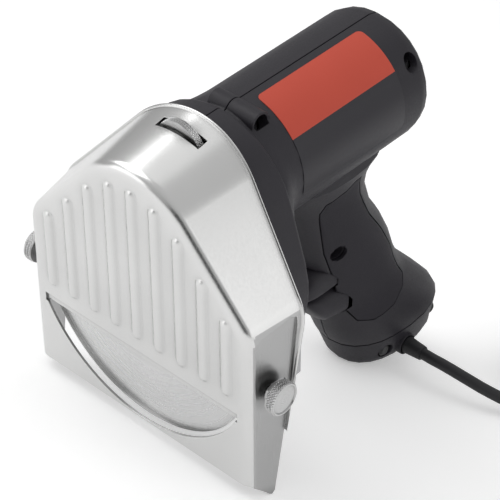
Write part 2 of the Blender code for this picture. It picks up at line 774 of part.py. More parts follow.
def make_spindle(steel):
    """Turn the blade spindle with its flange and two drive lugs."""
    front = BLADE_FRONT + BLADE_THICKNESS + FIT
    bore = BLADE_SCREW_RADIUS + FIT
    depth = front + BLADE_SCREW_LENGTH + SHEET
    profile = [
        (depth, 0),
        (depth, bore),
        (front, bore),
        (front, FLANGE_RADIUS),
        (front + FLANGE_THICKNESS, FLANGE_RADIUS),
        (front + FLANGE_THICKNESS, BEARING_BORE + SHEET),
        (BEARING_FRONT - FIT, BEARING_BORE + SHEET),
        (BEARING_FRONT - FIT, SPINDLE_RADIUS),
        (SPINDLE_TIP - SHEET / 2, SPINDLE_RADIUS),
        (SPINDLE_TIP, SPINDLE_RADIUS - SHEET / 2),
        (SPINDLE_TIP, 0),
    ]
    spindle = turned("blade_spindle", profile, "Y", (0, BLADE_HEIGHT), ROUND_STEPS)
    for side in (-1, 1):
        place = (side * DRIVE_SLOT_PLACE, BLADE_HEIGHT)
        join(spindle, bar("lug", "Y", place, BLADE_FRONT + FIT, front + SHEET, DRIVE_LUG_RADIUS))
    dress(spindle, steel)
    return spindle


def make_bearing(name, front, steel):
    """Turn one ball bearing as a ring with a groove between its races."""
    rear = front + BEARING_WIDTH
    middle = (BEARING_BORE + BEARING_RADIUS) / 2
    groove = BEARING_GROOVE
    profile = [
        (front, BEARING_BORE),
        (front, middle - 2 * groove),
        (front + groove, middle - 2 * groove),
        (front + groove, middle + 2 * groove),
        (front, middle + 2 * groove),
        (front, BEARING_RADIUS),
        (rear, BEARING_RADIUS),
        (rear, BEARING_BORE),
    ]
    return turned(name, profile, "Y", (0, BLADE_HEIGHT), ROUND_STEPS, steel)


def make_bearing_housing(alloy):
    """Turn the flanged tube that carries both bearings in front of the chassis plate."""
    bore = BEARING_RADIUS + FIT
    rear = CHASSIS_FRONT - FIT
    shoulder = BEARING_FRONT + BEARING_SPACING + BEARING_WIDTH + FIT
    profile = [
        (BEARING_FRONT - FIT, bore),
        (BEARING_FRONT - FIT, HUB_RADIUS),
        (rear - HUB_FLANGE_THICKNESS, HUB_RADIUS),
        (rear - HUB_FLANGE_THICKNESS, HUB_FLANGE_RADIUS),
        (rear, HUB_FLANGE_RADIUS),
        (rear, HUB_SHOULDER_RADIUS),
        (shoulder, HUB_SHOULDER_RADIUS),
        (shoulder, bore),
    ]
    return turned("bearing_housing", profile, "Y", (0, BLADE_HEIGHT), ROUND_STEPS, alloy)


def egg_outline(inset):
    """Return the gear case's outline: two circles joined by their tangents."""
    low = EGG_LOW_RADIUS - inset
    high = EGG_HIGH_RADIUS - inset
    tip = math.asin((low - high) / (EGG_HIGH_HEIGHT - EGG_LOW_HEIGHT))
    crown = arc((0, EGG_HIGH_HEIGHT), high, tip, math.pi - tip, EGG_CROWN_STEPS)
    base = arc((0, EGG_LOW_HEIGHT), low, math.pi - tip, math.tau + tip, EGG_BASE_STEPS)
    return crown + base


def make_chassis_plate(alloy):
    """Cut the chassis plate that closes the belt case, with its bore and screw holes."""
    rear = CHASSIS_FRONT + CHASSIS_THICKNESS
    plate = prism("chassis_plate", egg_outline(WALL + FIT), "Y", CHASSIS_FRONT, rear)
    centre = (0, BLADE_HEIGHT)
    carve(plate, drill("Y", centre, CHASSIS_FRONT - SHEET, rear + SHEET, CHASSIS_BORE, ROUND_STEPS))
    for place in chassis_screw_places():
        carve(plate, drill("Y", place, CHASSIS_FRONT - SHEET, rear + SHEET, SHANK_RADIUS + FIT))
    dress(plate, alloy)
    return plate


def chassis_screw_places():
    """Return the four chassis screws' places, left to right."""
    return [
        (-CHASSIS_SCREW_SIDE, CHASSIS_SCREW_SIDE_HEIGHT),
        (-CHASSIS_SCREW_TOP, CHASSIS_SCREW_TOP_HEIGHT),
        (CHASSIS_SCREW_TOP, CHASSIS_SCREW_TOP_HEIGHT),
        (CHASSIS_SCREW_SIDE, CHASSIS_SCREW_SIDE_HEIGHT),
    ]


def make_screw(name, axis, centre, head_seat, direction, length, steel, head=HEAD_RADIUS):
    """Turn a pan-head screw: its head stands against direction from head_seat, its shank runs along it."""
    out = head_seat - direction * HEAD_THICKNESS
    tip = head_seat + direction * length
    profile = [
        (out, 0),
        (out, head * math.cos(math.pi / 4)),
        (head_seat - direction * HEAD_THICKNESS / 2, head),
        (head_seat, head),
        (head_seat, SHANK_RADIUS),
        (tip, SHANK_RADIUS),
        (tip, 0),
    ]
    return turned(name, profile, axis, centre, SMALL_STEPS, steel)


def pulley_outline(centre_height, radius, grooves):
    """Return a toothed pulley's outline, one ridge and one groove for each tooth."""
    points = []
    for index in range(grooves):
        for share, cut in GROOVE_SHARES:
            angle = math.tau * (index + share) / grooves
            reach = radius - GROOVE_DEPTH * cut
            points.append((reach * math.cos(angle), centre_height + reach * math.sin(angle)))
    return points


def make_pulley(name, centre_height, radius, grooves, bore, material):
    """Extrude a toothed pulley and bore it for its shaft."""
    rear = PULLEY_FRONT + PULLEY_WIDTH
    outline = pulley_outline(centre_height, radius, grooves)
    pulley = prism(name, outline, "Y", PULLEY_FRONT, rear)
    hole = drill("Y", (0, centre_height), PULLEY_FRONT - SHEET, rear + SHEET, bore, ROUND_STEPS)
    carve(pulley, hole)
    dress(pulley, material)
    return pulley


def belt_loop(extra):
    """Return the belt's outline round both pulleys, at a distance outside their rims."""
    low = BLADE_PULLEY_RADIUS + FIT + extra
    high = MOTOR_PULLEY_RADIUS + FIT + extra
    tip = math.asin((low - high) / (MOTOR_HEIGHT - BLADE_HEIGHT))
    crown = arc((0, MOTOR_HEIGHT), high, tip, math.pi - tip, SMALL_STEPS)
    base = arc((0, BLADE_HEIGHT), low, math.pi - tip, math.tau + tip, ROUND_STEPS)
    return crown + base


def make_belt(rubber):
    """Make the drive belt, with teeth on its two free runs."""
    front = PULLEY_FRONT + BELT_INSET
    rear = PULLEY_FRONT + PULLEY_WIDTH - BELT_INSET
    belt = prism("drive_belt", belt_loop(BELT_THICKNESS), "Y", front, rear)
    carve(belt, prism("inside", belt_loop(0), "Y", front - SHEET, rear + SHEET))
    low = BLADE_PULLEY_RADIUS + FIT
    tip = math.asin((BLADE_PULLEY_RADIUS - MOTOR_PULLEY_RADIUS) / (MOTOR_HEIGHT - BLADE_HEIGHT))
    run = (MOTOR_HEIGHT - BLADE_HEIGHT) * math.cos(tip)
    start = (low * math.cos(tip), BLADE_HEIGHT + low * math.sin(tip))
    count = int((run - BELT_TOOTH_CLEAR_LOW - BELT_TOOTH_CLEAR_HIGH) / BELT_TOOTH_PITCH) + 1
    for side in (-1, 1):
        for index in range(count):
            along = BELT_TOOTH_CLEAR_LOW + index * BELT_TOOTH_PITCH
            tooth = []
            for step, inward in TOOTH_SHARES:
                reach = along + step * BELT_TOOTH_PITCH
                across = start[0] - math.sin(tip) * reach - math.cos(tip) * inward * BELT_TOOTH
                up = start[1] + math.cos(tip) * reach - math.sin(tip) * inward * BELT_TOOTH
                tooth.append((side * across, up))
            join(belt, prism("tooth", tooth, "Y", front, rear))
    dress(belt, rubber)
    return belt


def make_motor_can(steel):
    """Turn the motor's can with the nose that passes into the belt case."""
    bore = MOTOR_SHAFT_RADIUS + FIT
    corner = 2 * SHEET
    profile = [
        (BELT_CASE_REAR + FIT, bore),
        (BELT_CASE_REAR + FIT, MOTOR_NOSE_RADIUS),
        (MOTOR_CAN_FRONT, MOTOR_NOSE_RADIUS),
        (MOTOR_CAN_FRONT, MOTOR_CAN_RADIUS - corner),
        (MOTOR_CAN_FRONT + corner, MOTOR_CAN_RADIUS),
        (MOTOR_CAN_REAR, MOTOR_CAN_RADIUS),
        (MOTOR_CAN_REAR, bore),
    ]
    return turned("motor_can", profile, "Y", (0, MOTOR_HEIGHT), ROUND_STEPS, steel)


def make_motor_cap(plastic):
    """Turn the motor's rear end cap with its bearing boss."""
    bore = MOTOR_SHAFT_RADIUS + FIT
    front = MOTOR_CAN_REAR + FIT
    rear = front + MOTOR_CAP_THICKNESS
    profile = [
        (front, bore),
        (front, MOTOR_CAN_RADIUS),
        (rear - SHEET, MOTOR_CAN_RADIUS),
        (rear, MOTOR_CAN_RADIUS - SHEET),
        (rear, MOTOR_CAP_BOSS_RADIUS),
        (rear + MOTOR_CAP_BOSS, MOTOR_CAP_BOSS_RADIUS),
        (rear + MOTOR_CAP_BOSS, bore),
    ]
    return turned("motor_end_cap", profile, "Y", (0, MOTOR_HEIGHT), ROUND_STEPS, plastic)


def handle_rings(inset, low_extra=0, steps=HANDLE_SECTION_STEPS):
    """Return the handle's sections from foot to barrel, moved in by inset."""
    rings = []
    for height_share, front_share, rear_share, width_share in HANDLE_SHARES:
        height = HANDLE_FOOT + (HANDLE_TOP - HANDLE_FOOT) * height_share
        if height_share == 0:
            height -= low_extra
        front = HANDLE_FRONT + HANDLE_DEPTH * front_share + inset
        rear = HANDLE_FRONT + HANDLE_DEPTH * rear_share - inset
        half_width = HANDLE_HALF_WIDTH * width_share - inset
        section = superellipse(half_width, (rear - front) / 2, HANDLE_SQUARENESS_SHARE, steps)
        middle = (front + rear) / 2
        rings.append([Vector((across, middle + up, height)) for across, up in section])
    return rings


def barrel_form():
    """Return the barrel with the flare that grows out of the gear case."""
    reach = BARREL_FRONT - EGG_REAR
    grow = EGG_HIGH_RADIUS
    rings = []
    for along, wider, lower in FLARE_SHARES:
        depth = BARREL_FRONT - reach * along - (EGG_ROUND if along == 1 else 0)
        centre = MOTOR_HEIGHT + BARREL_RADIUS * lower
        radius = BARREL_RADIUS + grow * wider * 2
        rings.append((depth, radius, centre))
    rings.append((BARREL_FRONT, BARREL_RADIUS, MOTOR_HEIGHT))
    for across, up in arc((0, 0), BARREL_CORNER, 0, math.pi / 2 * BARREL_TURN_SHARE, CAP_EDGE_STEPS):
        depth = BARREL_REAR - BARREL_CORNER + up
        rings.append((depth, BARREL_RADIUS - BARREL_CORNER + across, MOTOR_HEIGHT))
    loops = []
    for depth, radius, centre in rings:
        circle = arc((0, centre), radius, 0, math.tau * (1 - 1 / FINE_STEPS), FINE_STEPS - 1)
        loops.append([Vector((across, depth, up)) for across, up in circle])
    return lofted("barrel", loops)


def egg_form(inset, front, rear, rounding=0):
    """Return the gear case's block between two depths, with its rear edge rounded."""
    shapes = [(front, inset), (rear - rounding, inset)]
    if rounding:
        moved = rounding * (1 - math.cos(math.pi / 4))
        shapes += [(rear - moved, inset + moved), (rear, inset + rounding)]
    rings = []
    for depth, moved in shapes:
        rings.append([Vector((across, depth, up)) for across, up in egg_outline(moved)])
    return lofted("egg", rings)


def front_trim():
    """Return the cutter that slants the gear case's front edge and opens the slice chute below."""
    slope = (EGG_FRONT_HIGH - EGG_FRONT_LOW) / (EGG_HIGH_HEIGHT + EGG_HIGH_RADIUS - EGG_FRONT_LOW_HEIGHT)
    top = EGG_HIGH_HEIGHT + EGG_HIGH_RADIUS + OVERRUN
    outline = [
        (0, -OVERRUN),
        (EGG_CHUTE_FRONT, -OVERRUN),
        (EGG_CHUTE_FRONT, EGG_CHUTE_HEIGHT - WALL),
        (EGG_CHUTE_FRONT - WALL, EGG_CHUTE_HEIGHT),
        (EGG_FRONT_LOW, EGG_CHUTE_HEIGHT),
        (EGG_FRONT_LOW, EGG_FRONT_LOW_HEIGHT),
        (EGG_FRONT_LOW + slope * (top - EGG_FRONT_LOW_HEIGHT), top),
        (0, top),
    ]
    wide = EGG_LOW_RADIUS + OVERRUN
    return prism("front_trim", outline, "X", -wide, wide)


def barrel_cavity():
    """Return the motor's space, drawn in at the two rings that hold the motor."""
    room = BARREL_RADIUS - WALL
    front = MOTOR_CAN_FRONT - FIT
    profile = [(front, 0), (front, room)]
    for place in RING_PLACES:
        profile += [
            (place, room),
            (place, RING_INNER_RADIUS),
            (place + RING_WIDTH, RING_INNER_RADIUS),
            (place + RING_WIDTH, room),
        ]
    rear = BARREL_REAR - WALL
    corner = BARREL_CORNER / 2
    profile += [(rear - corner, room), (rear, room - corner), (rear, 0)]
    return turned("motor_space", profile, "Y", (0, MOTOR_HEIGHT), ROUND_STEPS)


def panel_outline(grow):
    """Return a grip panel's side outline, moved out by grow."""
    depth = PANEL_REAR - PANEL_FRONT
    tall = PANEL_HIGH - PANEL_LOW
    points = [(PANEL_FRONT + depth * along, PANEL_LOW + tall * up) for along, up in PANEL_SHARES]
    moved = []
    for index, (along, up) in enumerate(points):
        before = Vector(points[index - 1])
        after = Vector(points[(index + 1) % len(points)])
        edge = (after - before).normalized()
        outward = Vector((edge.y, -edge.x))
        moved.append((along + outward.x * grow, up + outward.y * grow))
    return moved


def make_grip_panel(side, name, rubber):
    """Cut one grip panel from the handle's skin, with a hole for the handle screw."""
    panel = lofted(name, handle_rings(0))
    carve(panel, lofted("core", handle_rings(PANEL_THICKNESS, OVERRUN)))
    reach = side * HANDLE_HALF_WIDTH * 2
    inner = side * PANEL_THICKNESS
    keep = prism("keep", panel_outline(0), "X", min(inner, reach), max(inner, reach))
    carve(panel, keep, "INTERSECT")
    if side > 0:
        place = (HANDLE_SCREW_DEPTH, HANDLE_SCREW_HEIGHT)
        carve(panel, drill("X", place, 0, reach, COUNTERBORE_RADIUS + FIT))
    carve(panel, trigger_slot())
    dress(panel, rubber)
    return panel


def panel_pocket(side):
    """Return the cutter for a grip panel's seat in the handle."""
    ends = sorted((side * (PANEL_THICKNESS - PANEL_GAP), side * HANDLE_HALF_WIDTH * 2))
    pocket = prism("pocket", panel_outline(PANEL_GAP), "X", ends[0], ends[1])
    carve(pocket, lofted("core", handle_rings(PANEL_THICKNESS + FIT, OVERRUN)))
    return pocket


def lobe_section(low, high, half_width):
    """Return one lobe's cross-section as a superellipse between two heights."""
    middle = (low + high) / 2
    points = superellipse(half_width, (high - low) / 2, TRIGGER_SQUARENESS_SHARE, LOBE_STEPS)
    return [(across, middle + up) for across, up in points]


def lobe(low, high, front, rear, lean_share):
    """Return one finger lobe, domed in front; a lean lifts its front's lower side."""
    rings = []
    tall = high - low
    for along, full in LOBE_SHARES:
        depth = front + (rear - front) * along
        lift = tall * lean_share * max(0, 1 - along / LOBE_SHARES[-2][0] * LEAN_REACH_SHARE)
        lower = low + lift + (tall - lift) * (1 - full) / 2
        upper = high - (tall - lift) * (1 - full) / 2
        section = lobe_section(lower, upper, TRIGGER_HALF_WIDTH * (1 + full) / 2)
        rings.append([Vector((across, depth, up)) for across, up in section])
    return lofted("lobe", rings)


def make_trigger(plastic):
    """Make the two-lobed trigger with the plunger that enters the switch."""
    trigger = lobe(TRIGGER_CREASE - TRIGGER_LAP, TRIGGER_TOP, TRIGGER_FRONT, TRIGGER_REAR, 0)
    trigger.name = "trigger"
    lower_front = TRIGGER_FRONT + LOWER_LOBE_SETBACK
    top = TRIGGER_CREASE + TRIGGER_LAP
    join(trigger, lobe(TRIGGER_BOTTOM, top, lower_front, TRIGGER_REAR, LOWER_LOBE_LEAN_SHARE))
    web = TRIGGER_HALF_WIDTH * TRIGGER_WEB_SHARE
    web_low = (-web, TRIGGER_REAR - WALL * 2, TRIGGER_CREASE - WALL + FIT)
    web_high = (web, TRIGGER_REAR - FIT, TRIGGER_CREASE + WALL - FIT)
    join(trigger, block("web", web_low, web_high))
    tip = TRIGGER_REAR + PLUNGER_LENGTH
    join(trigger, bar("plunger", "Y", (0, PLUNGER_HEIGHT), TRIGGER_REAR - WALL, tip, PLUNGER_RADIUS))
    dress(trigger, plastic)
    return trigger


def trigger_slot():
    """Return the cutter for the trigger's opening in the handle."""
    front = HANDLE_FRONT - HANDLE_DEPTH
    rear = SWITCH_FRONT + SHEET
    half_width = TRIGGER_HALF_WIDTH + FIT
    upper = lobe_section(TRIGGER_CREASE - TRIGGER_LAP - FIT, TRIGGER_TOP + FIT, half_width)
    slot = prism("trigger_slot", upper, "Y", front, rear)
    lower = lobe_section(TRIGGER_BOTTOM - FIT, TRIGGER_CREASE + TRIGGER_LAP + FIT, half_width)
    join(slot, prism("lower_slot", lower, "Y", front, rear))
    tall = TRIGGER_CREASE + TRIGGER_LAP - TRIGGER_BOTTOM
    lift = tall * LOWER_LOBE_LEAN_SHARE * (1 - LEAN_REACH_SHARE)
    leaned = lobe_section(TRIGGER_BOTTOM + lift - FIT, TRIGGER_CREASE + TRIGGER_LAP + FIT, half_width)
    join(slot, prism("leaned_slot", leaned, "Y", front, rear))
    web = half_width * TRIGGER_WEB_SHARE
    join(slot, block("middle", (-web, front, TRIGGER_CREASE - WALL), (web, rear, TRIGGER_CREASE + WALL)))
    return slot


def make_switch(plastic):
    """Make the switch body with the hole that the trigger's plunger enters."""
    low = (-SWITCH_HALF_WIDTH, SWITCH_FRONT, SWITCH_LOW)
    high = (SWITCH_HALF_WIDTH, SWITCH_FRONT + SWITCH_DEPTH, SWITCH_HIGH)
    switch = block("switch_body", low, high)
    edge = switch.modifiers.new("Edge", "BEVEL")
    edge.width = SWITCH_BEVEL
    edge.segments = 1
    bottom = TRIGGER_REAR + PLUNGER_LENGTH + TRIGGER_TRAVEL + FIT
    hole = drill("Y", (0, PLUNGER_HEIGHT), SWITCH_FRONT - SHEET, bottom, PLUNGER_RADIUS + FIT)
    carve(switch, hole)
    dress(switch, plastic)
    return switch


def screw_cut(depth, height, seat, reach, blind):
    """Return the counterbore and the blind hole of a screw that runs across the seam."""
    place = (depth, height)
    cut = drill("X", place, seat, reach, COUNTERBORE_RADIUS, ROUND_STEPS)
    join(cut, bar("pilot", "X", place, -blind, seat + SHEET, SHANK_RADIUS + FIT))
    return cut


def make_housing(plastic):
    """Mould the housing whole, hollow it and split it at the seam."""
    body = egg_form(0, EGG_FRONT_LOW - SHEET, EGG_REAR, EGG_ROUND)
    carve(body, front_trim())
    join(body, barrel_form())
    join(body, lofted("handle", handle_rings(0)))
    place = (TOP_BOSS_DEPTH, TOP_BOSS_HEIGHT)
    join(body, bar("top_boss", "X", place, TOP_BOSS_LEFT, TOP_BOSS_RIGHT, TOP_BOSS_RADIUS, ROUND_STEPS))

    cavity = barrel_cavity()
    nose_radius = MOTOR_NOSE_RADIUS + FIT
    nose_front = BELT_CASE_REAR - SHEET
    join(cavity, bar("nose", "Y", (0, MOTOR_HEIGHT), nose_front, EGG_REAR + SHEET, nose_radius, ROUND_STEPS))
    join(cavity, egg_form(WALL, 0, BELT_CASE_REAR))
    join(cavity, lofted("handle_space", handle_rings(HANDLE_WALL, OVERRUN, INNER_SECTION_STEPS)))
    carve(body, cavity)

    rear_place = (REAR_SCREW_DEPTH, REAR_SCREW_HEIGHT)
    rear_reach = REAR_SCREW_SEAT + BOSS_RADIUS
    join(body, bar("rear_boss", "X", rear_place, -rear_reach, rear_reach, BOSS_RADIUS))
    grip_place = (HANDLE_SCREW_DEPTH, HANDLE_SCREW_HEIGHT)
    grip_reach = HANDLE_SCREW_SEAT + BOSS_RADIUS
    join(body, bar("grip_boss", "X", grip_place, -grip_reach, grip_reach, BOSS_RADIUS))
    for across, up in chassis_screw_places():
        rear = BELT_CASE_REAR + SHEET
        front = CHASSIS_FRONT + CHASSIS_THICKNESS + FIT
        join(body, bar("chassis_boss", "Y", (across, up), front, rear, CHASSIS_BOSS_RADIUS))

    lugs = ((CAP_FRONT_SCREW_DEPTH, LUG_FRONT_HALF_WIDTH), (CAP_REAR_SCREW_DEPTH, LUG_REAR_HALF_WIDTH))
    for centre, half_width in lugs:
        low = (-half_width, centre - LUG_HALF_DEPTH, LUG_BOTTOM)
        high = (half_width, centre + LUG_HALF_DEPTH, LUG_TOP)
        join(body, block("lug", low, high))
        shelf_low = (-half_width - LUG_SHELF, low[1], HANDLE_FOOT + FIT)
        join(body, block("shelf", shelf_low, (half_width + LUG_SHELF, high[1], LUG_TOP)))
    for side in (-1, 1):
        ends = sorted((side * (SWITCH_HALF_WIDTH + FIT), side * (HANDLE_HALF_WIDTH - HANDLE_WALL)))
        low = (ends[0], SWITCH_FRONT + CRADLE_INSET, SWITCH_LOW + CRADLE_INSET)
        high = (ends[1], SWITCH_FRONT + SWITCH_DEPTH - CRADLE_INSET, SWITCH_HIGH - CRADLE_INSET)
        join(body, block("cradle", low, high))
        carve(body, panel_pocket(side))
    carve(body, trigger_slot())

    carve(body, screw_cut(*rear_place, REAR_SCREW_SEAT, BARREL_RADIUS, REAR_SCREW_SEAT))
    carve(body, screw_cut(*grip_place, HANDLE_SCREW_SEAT, HANDLE_HALF_WIDTH, HANDLE_SCREW_SEAT))
    carve(body, screw_cut(*place, TOP_SCREW_SEAT, TOP_BOSS_RIGHT + SHEET, -TOP_BOSS_LEFT - WALL / 2))
    for centre, seat in lugs:
        hole = drill("X", (centre, CAP_SCREW_HEIGHT), -seat - SHEET, seat + SHEET, SHANK_RADIUS + FIT)
        carve(body, hole)
    for across, up in chassis_screw_places():
        front = CHASSIS_FRONT
        hole = drill("Y", (across, up), front, front + CHASSIS_SCREW_REACH + SHEET, SHANK_RADIUS + FIT)
        carve(body, hole)
    for side in (-1, 1):
        for index in range(VENT_COUNT_EACH_SIDE):
            across = side * VENT_PITCH * (index + VENT_START_SHARE)
            low = (across - VENT_WIDTH / 2, BARREL_REAR - WALL * 2, MOTOR_HEIGHT - VENT_HALF_HEIGHT)
            high = (across + VENT_WIDTH / 2, BARREL_REAR + SHEET, MOTOR_HEIGHT + VENT_HALF_HEIGHT)
            carve(body, block("vent", low, high))

    halves = []
    wide = EGG_LOW_RADIUS + OVERRUN
    for name, low, high in (("housing_left", -wide, -SEAM), ("housing_right", SEAM, wide)):
        half = body.copy()
        half.data = body.data.copy()
        half.name = name
        bpy.context.scene.collection.objects.link(half)
        top = COVER_APEX_HEIGHT + OVERRUN
        keep = block("keep", (low, 0, LUG_BOTTOM - OVERRUN), (high, BARREL_REAR * 2, top))
        carve(half, keep, "INTERSECT")
        dress(half, plastic)
        halves.append(half)
    bpy.data.objects.remove(body)
    return halves


def make_foot_cap(plastic):
    """Mould the foot cap: a shallow cup with a rounded edge and a boss where the lead leaves."""
    cap = lofted("foot_cap", [cap_ring(section, section[0], 0) for section in CAP_SECTIONS])
    place = (EXIT_DEPTH, EXIT_HEIGHT)
    floor = CAP_BOTTOM + CAP_WALL
    top = CAP_SECTIONS[0][0] + SHEET
    rings = [cap_ring(CAP_SECTIONS[0], top, CAP_WALL), cap_ring(CAP_SECTIONS[1], floor, CAP_WALL)]
    carve(cap, lofted("space", rings))
    join(cap, bar("exit_boss", "X", place, EXIT_BOSS_START, EXIT_FACE, EXIT_BOSS_RADIUS, ROUND_STEPS))
    hole = drill("X", place, EXIT_BOSS_START - SHEET, EXIT_FACE + SHEET, GROMMET_RADIUS + FIT, ROUND_STEPS)
    carve(cap, hole)
    front_screw = (CAP_FRONT_SCREW_DEPTH, CAP_FRONT_SCREW_SEAT)
    for depth, seat in (front_screw, (CAP_REAR_SCREW_DEPTH, CAP_REAR_SCREW_SEAT)):
        carve(cap, screw_cut(depth, CAP_SCREW_HEIGHT, seat, HANDLE_HALF_WIDTH + SHEET, 0))
    dress(cap, plastic)
    return cap


def cap_ring(section, height, inset):
    """Return one section of the foot cap, moved in by inset, at a height."""
    front = HANDLE_FRONT + section[1] + inset
    rear = HANDLE_FRONT + HANDLE_DEPTH - section[3] - inset
    half_width = HANDLE_HALF_WIDTH - section[2] - inset
    half_depth = (rear - front) / 2
    outline = superellipse(half_width, half_depth, HANDLE_SQUARENESS_SHARE, HANDLE_SECTION_STEPS)
    return [Vector((across, front + half_depth + up, height)) for across, up in outline]


def make_bracket(side, name, steel):
    """Bend one side bracket: a foot on the chassis plate and an arm with a threaded ear."""
    rear = CHASSIS_FRONT - FIT
    outline = [
        (BRACKET_INNER, rear),
        (BRACKET_INNER, rear - BRACKET_THICKNESS),
        (BRACKET_OUTER - 2 * BRACKET_THICKNESS, rear - BRACKET_THICKNESS),
        (BRACKET_OUTER - BRACKET_THICKNESS, rear - 2 * BRACKET_THICKNESS),
        (BRACKET_OUTER - BRACKET_THICKNESS, BRACKET_FRONT),
        (BRACKET_OUTER, BRACKET_FRONT),
        (BRACKET_OUTER, rear - BRACKET_THICKNESS),
        (BRACKET_OUTER - BRACKET_THICKNESS, rear),
    ]
    mirrored = [(side * across, along) for across, along in outline]
    bracket = prism(name, mirrored, "Z", BRACKET_LOW, BRACKET_HIGH)
    ends = sorted((side * CLAMP_TIP, side * (BRACKET_OUTER + SHEET)))
    carve(bracket, drill("X", (KNOB_DEPTH, KNOB_HEIGHT), ends[0], ends[1], CLAMP_RADIUS + FIT))
    dress(bracket, steel)
    return bracket


def knurled_outline(centre, radius, count):
    """Return a round outline with a fine wave of ridges."""
    points = []
    for index in range(2 * count):
        angle = math.pi * index / count
        reach = radius - KNURL_DEPTH * (index % 2)
        points.append((centre[0] + reach * math.cos(angle), centre[1] + reach * math.sin(angle)))
    return points


def make_knob(side, name, steel):
    """Turn one clamp knob: knurled head, plain collar and clamp screw."""
    centre = (KNOB_DEPTH, KNOB_HEIGHT)
    seat = side * KNOB_SEAT
    neck = seat + side * KNOB_COLLAR
    top = neck + side * KNOB_HEAD
    profile = [
        (side * CLAMP_TIP, 0),
        (side * CLAMP_TIP, CLAMP_RADIUS),
        (seat, CLAMP_RADIUS),
        (seat, KNOB_COLLAR_RADIUS),
        (neck, KNOB_COLLAR_RADIUS),
        (neck, KNOB_RADIUS - KNOB_CHAMFER),
        (top, KNOB_RADIUS - KNOB_CHAMFER),
        (top, 0),
    ]
    knob = turned(name, profile, "X", centre, ROUND_STEPS)
    ends = sorted((neck + side * KNOB_CHAMFER, top - side * KNOB_CHAMFER))
    join(knob, prism("grip", knurled_outline(centre, KNOB_RADIUS, KNOB_KNURLS), "X", ends[0], ends[1]))
    dress(knob, steel)
    return knob


def make_wheel(steel):
    """Cut the thumbwheel: a knurled disc threaded on the adjusting screw."""
    centre = (0, WHEEL_HEIGHT)
    rear = WHEEL_FRONT + WHEEL_THICKNESS
    wheel = prism("thumbwheel", knurled_outline(centre, WHEEL_RADIUS, WHEEL_KNURLS), "Y", WHEEL_FRONT, rear)
    carve(wheel, drill("Y", centre, WHEEL_FRONT - SHEET, rear + SHEET, ADJUSTER_RADIUS + FIT, ROUND_STEPS))
    dress(wheel, steel)
    return wheel


def make_adjuster(steel):
    """Make the fixed adjusting screw, riveted to its plate on the chassis."""
    rear = CHASSIS_FRONT - FIT
    front = rear - ADJUSTER_PLATE_THICKNESS
    low = (-ADJUSTER_PLATE_HALF_WIDTH, front, ADJUSTER_PLATE_LOW)
    high = (ADJUSTER_PLATE_HALF_WIDTH, rear, ADJUSTER_PLATE_HIGH)
    adjuster = block("adjusting_screw", low, high)
    centre = (0, WHEEL_HEIGHT)
    join(adjuster, bar("stem", "Y", centre, ADJUSTER_TIP, rear - SHEET, ADJUSTER_RADIUS, ROUND_STEPS))
    dress(adjuster, steel)
    return adjuster


def make_fork(steel):
    """Bend the fork that carries the thumbwheel under the cover's top."""
    gap = FIT
    front = WHEEL_FRONT - gap - FORK_THICKNESS
    rear = WHEEL_FRONT + WHEEL_THICKNESS + gap + FORK_THICKNESS
    roof = COVER_APEX_HEIGHT + COVER_DRAFT_SHARE * front - SHEET / math.cos(math.atan(COVER_DRAFT_SHARE))
    sag = FORK_HALF_WIDTH * FORK_HALF_WIDTH / COVER_APEX_RADIUS / 2
    top = roof - FORK_TOP_GAP - sag
    web = WHEEL_HEIGHT - WHEEL_RADIUS - FORK_WEB_GAP
    low = (-FORK_HALF_WIDTH, front, web - FORK_THICKNESS)
    fork = block("wheel_fork", low, (FORK_HALF_WIDTH, rear, top))
    inner_low = (-FORK_HALF_WIDTH - SHEET, front + FORK_THICKNESS, web)
    inner_high = (FORK_HALF_WIDTH + SHEET, rear - FORK_THICKNESS, top + SHEET)
    carve(fork, block("room", inner_low, inner_high))
    hole = drill("Y", (0, WHEEL_HEIGHT), front - SHEET, rear + SHEET, ADJUSTER_RADIUS + FIT, ROUND_STEPS)
    carve(fork, hole)
    dress(fork, steel)
    return fork


def make_grommet(rubber):
    """Turn the lead's grommet, tapering where it leaves the foot cap."""
    profile = [
        (GROMMET_START, 0),
        (GROMMET_START, GROMMET_RADIUS),
        (EXIT_FACE, GROMMET_RADIUS),
        (GROMMET_END, GROMMET_TIP_RADIUS),
        (GROMMET_END, 0),
    ]
    return turned("cord_grommet", profile, "X", (EXIT_DEPTH, EXIT_HEIGHT), ROUND_STEPS, rubber)


def smooth_route(points, step):
    """Return points at an even step along a smooth curve through the route's points."""
    knots = [Vector(point) for point in points]
    knots = [2 * knots[0] - knots[1]] + knots + [2 * knots[-1] - knots[-2]]
    fine = []
    for index in range(1, len(knots) - 2):
        before, start, end, after = knots[index - 1:index + 3]
        for part in range(ROUND_STEPS):
            share = part / ROUND_STEPS
            bend = 2 * before - 5 * start + 4 * end - after
            twist = 3 * start - before - 3 * end + after
            fine.append(start + ((end - before) * share + bend * share**2 + twist * share**3) / 2)
    fine.append(knots[-2])
    lengths = [(after - before).length for before, after in zip(fine, fine[1:])]
    count = max(2, round(sum(lengths) / step))
    spaced = [fine[0]]
    passed = 0
    for before, after, length in zip(fine, fine[1:], lengths):
        target = sum(lengths) * len(spaced) / count
        if passed + length >= target and len(spaced) < count:
            spaced.append(before.lerp(after, (target - passed) / length))
        passed += length
    spaced.append(fine[-1])
    return spaced


def route_length(points):
    """Return the length of a row of points."""
    return sum((after - before).length for before, after in zip(points, points[1:]))


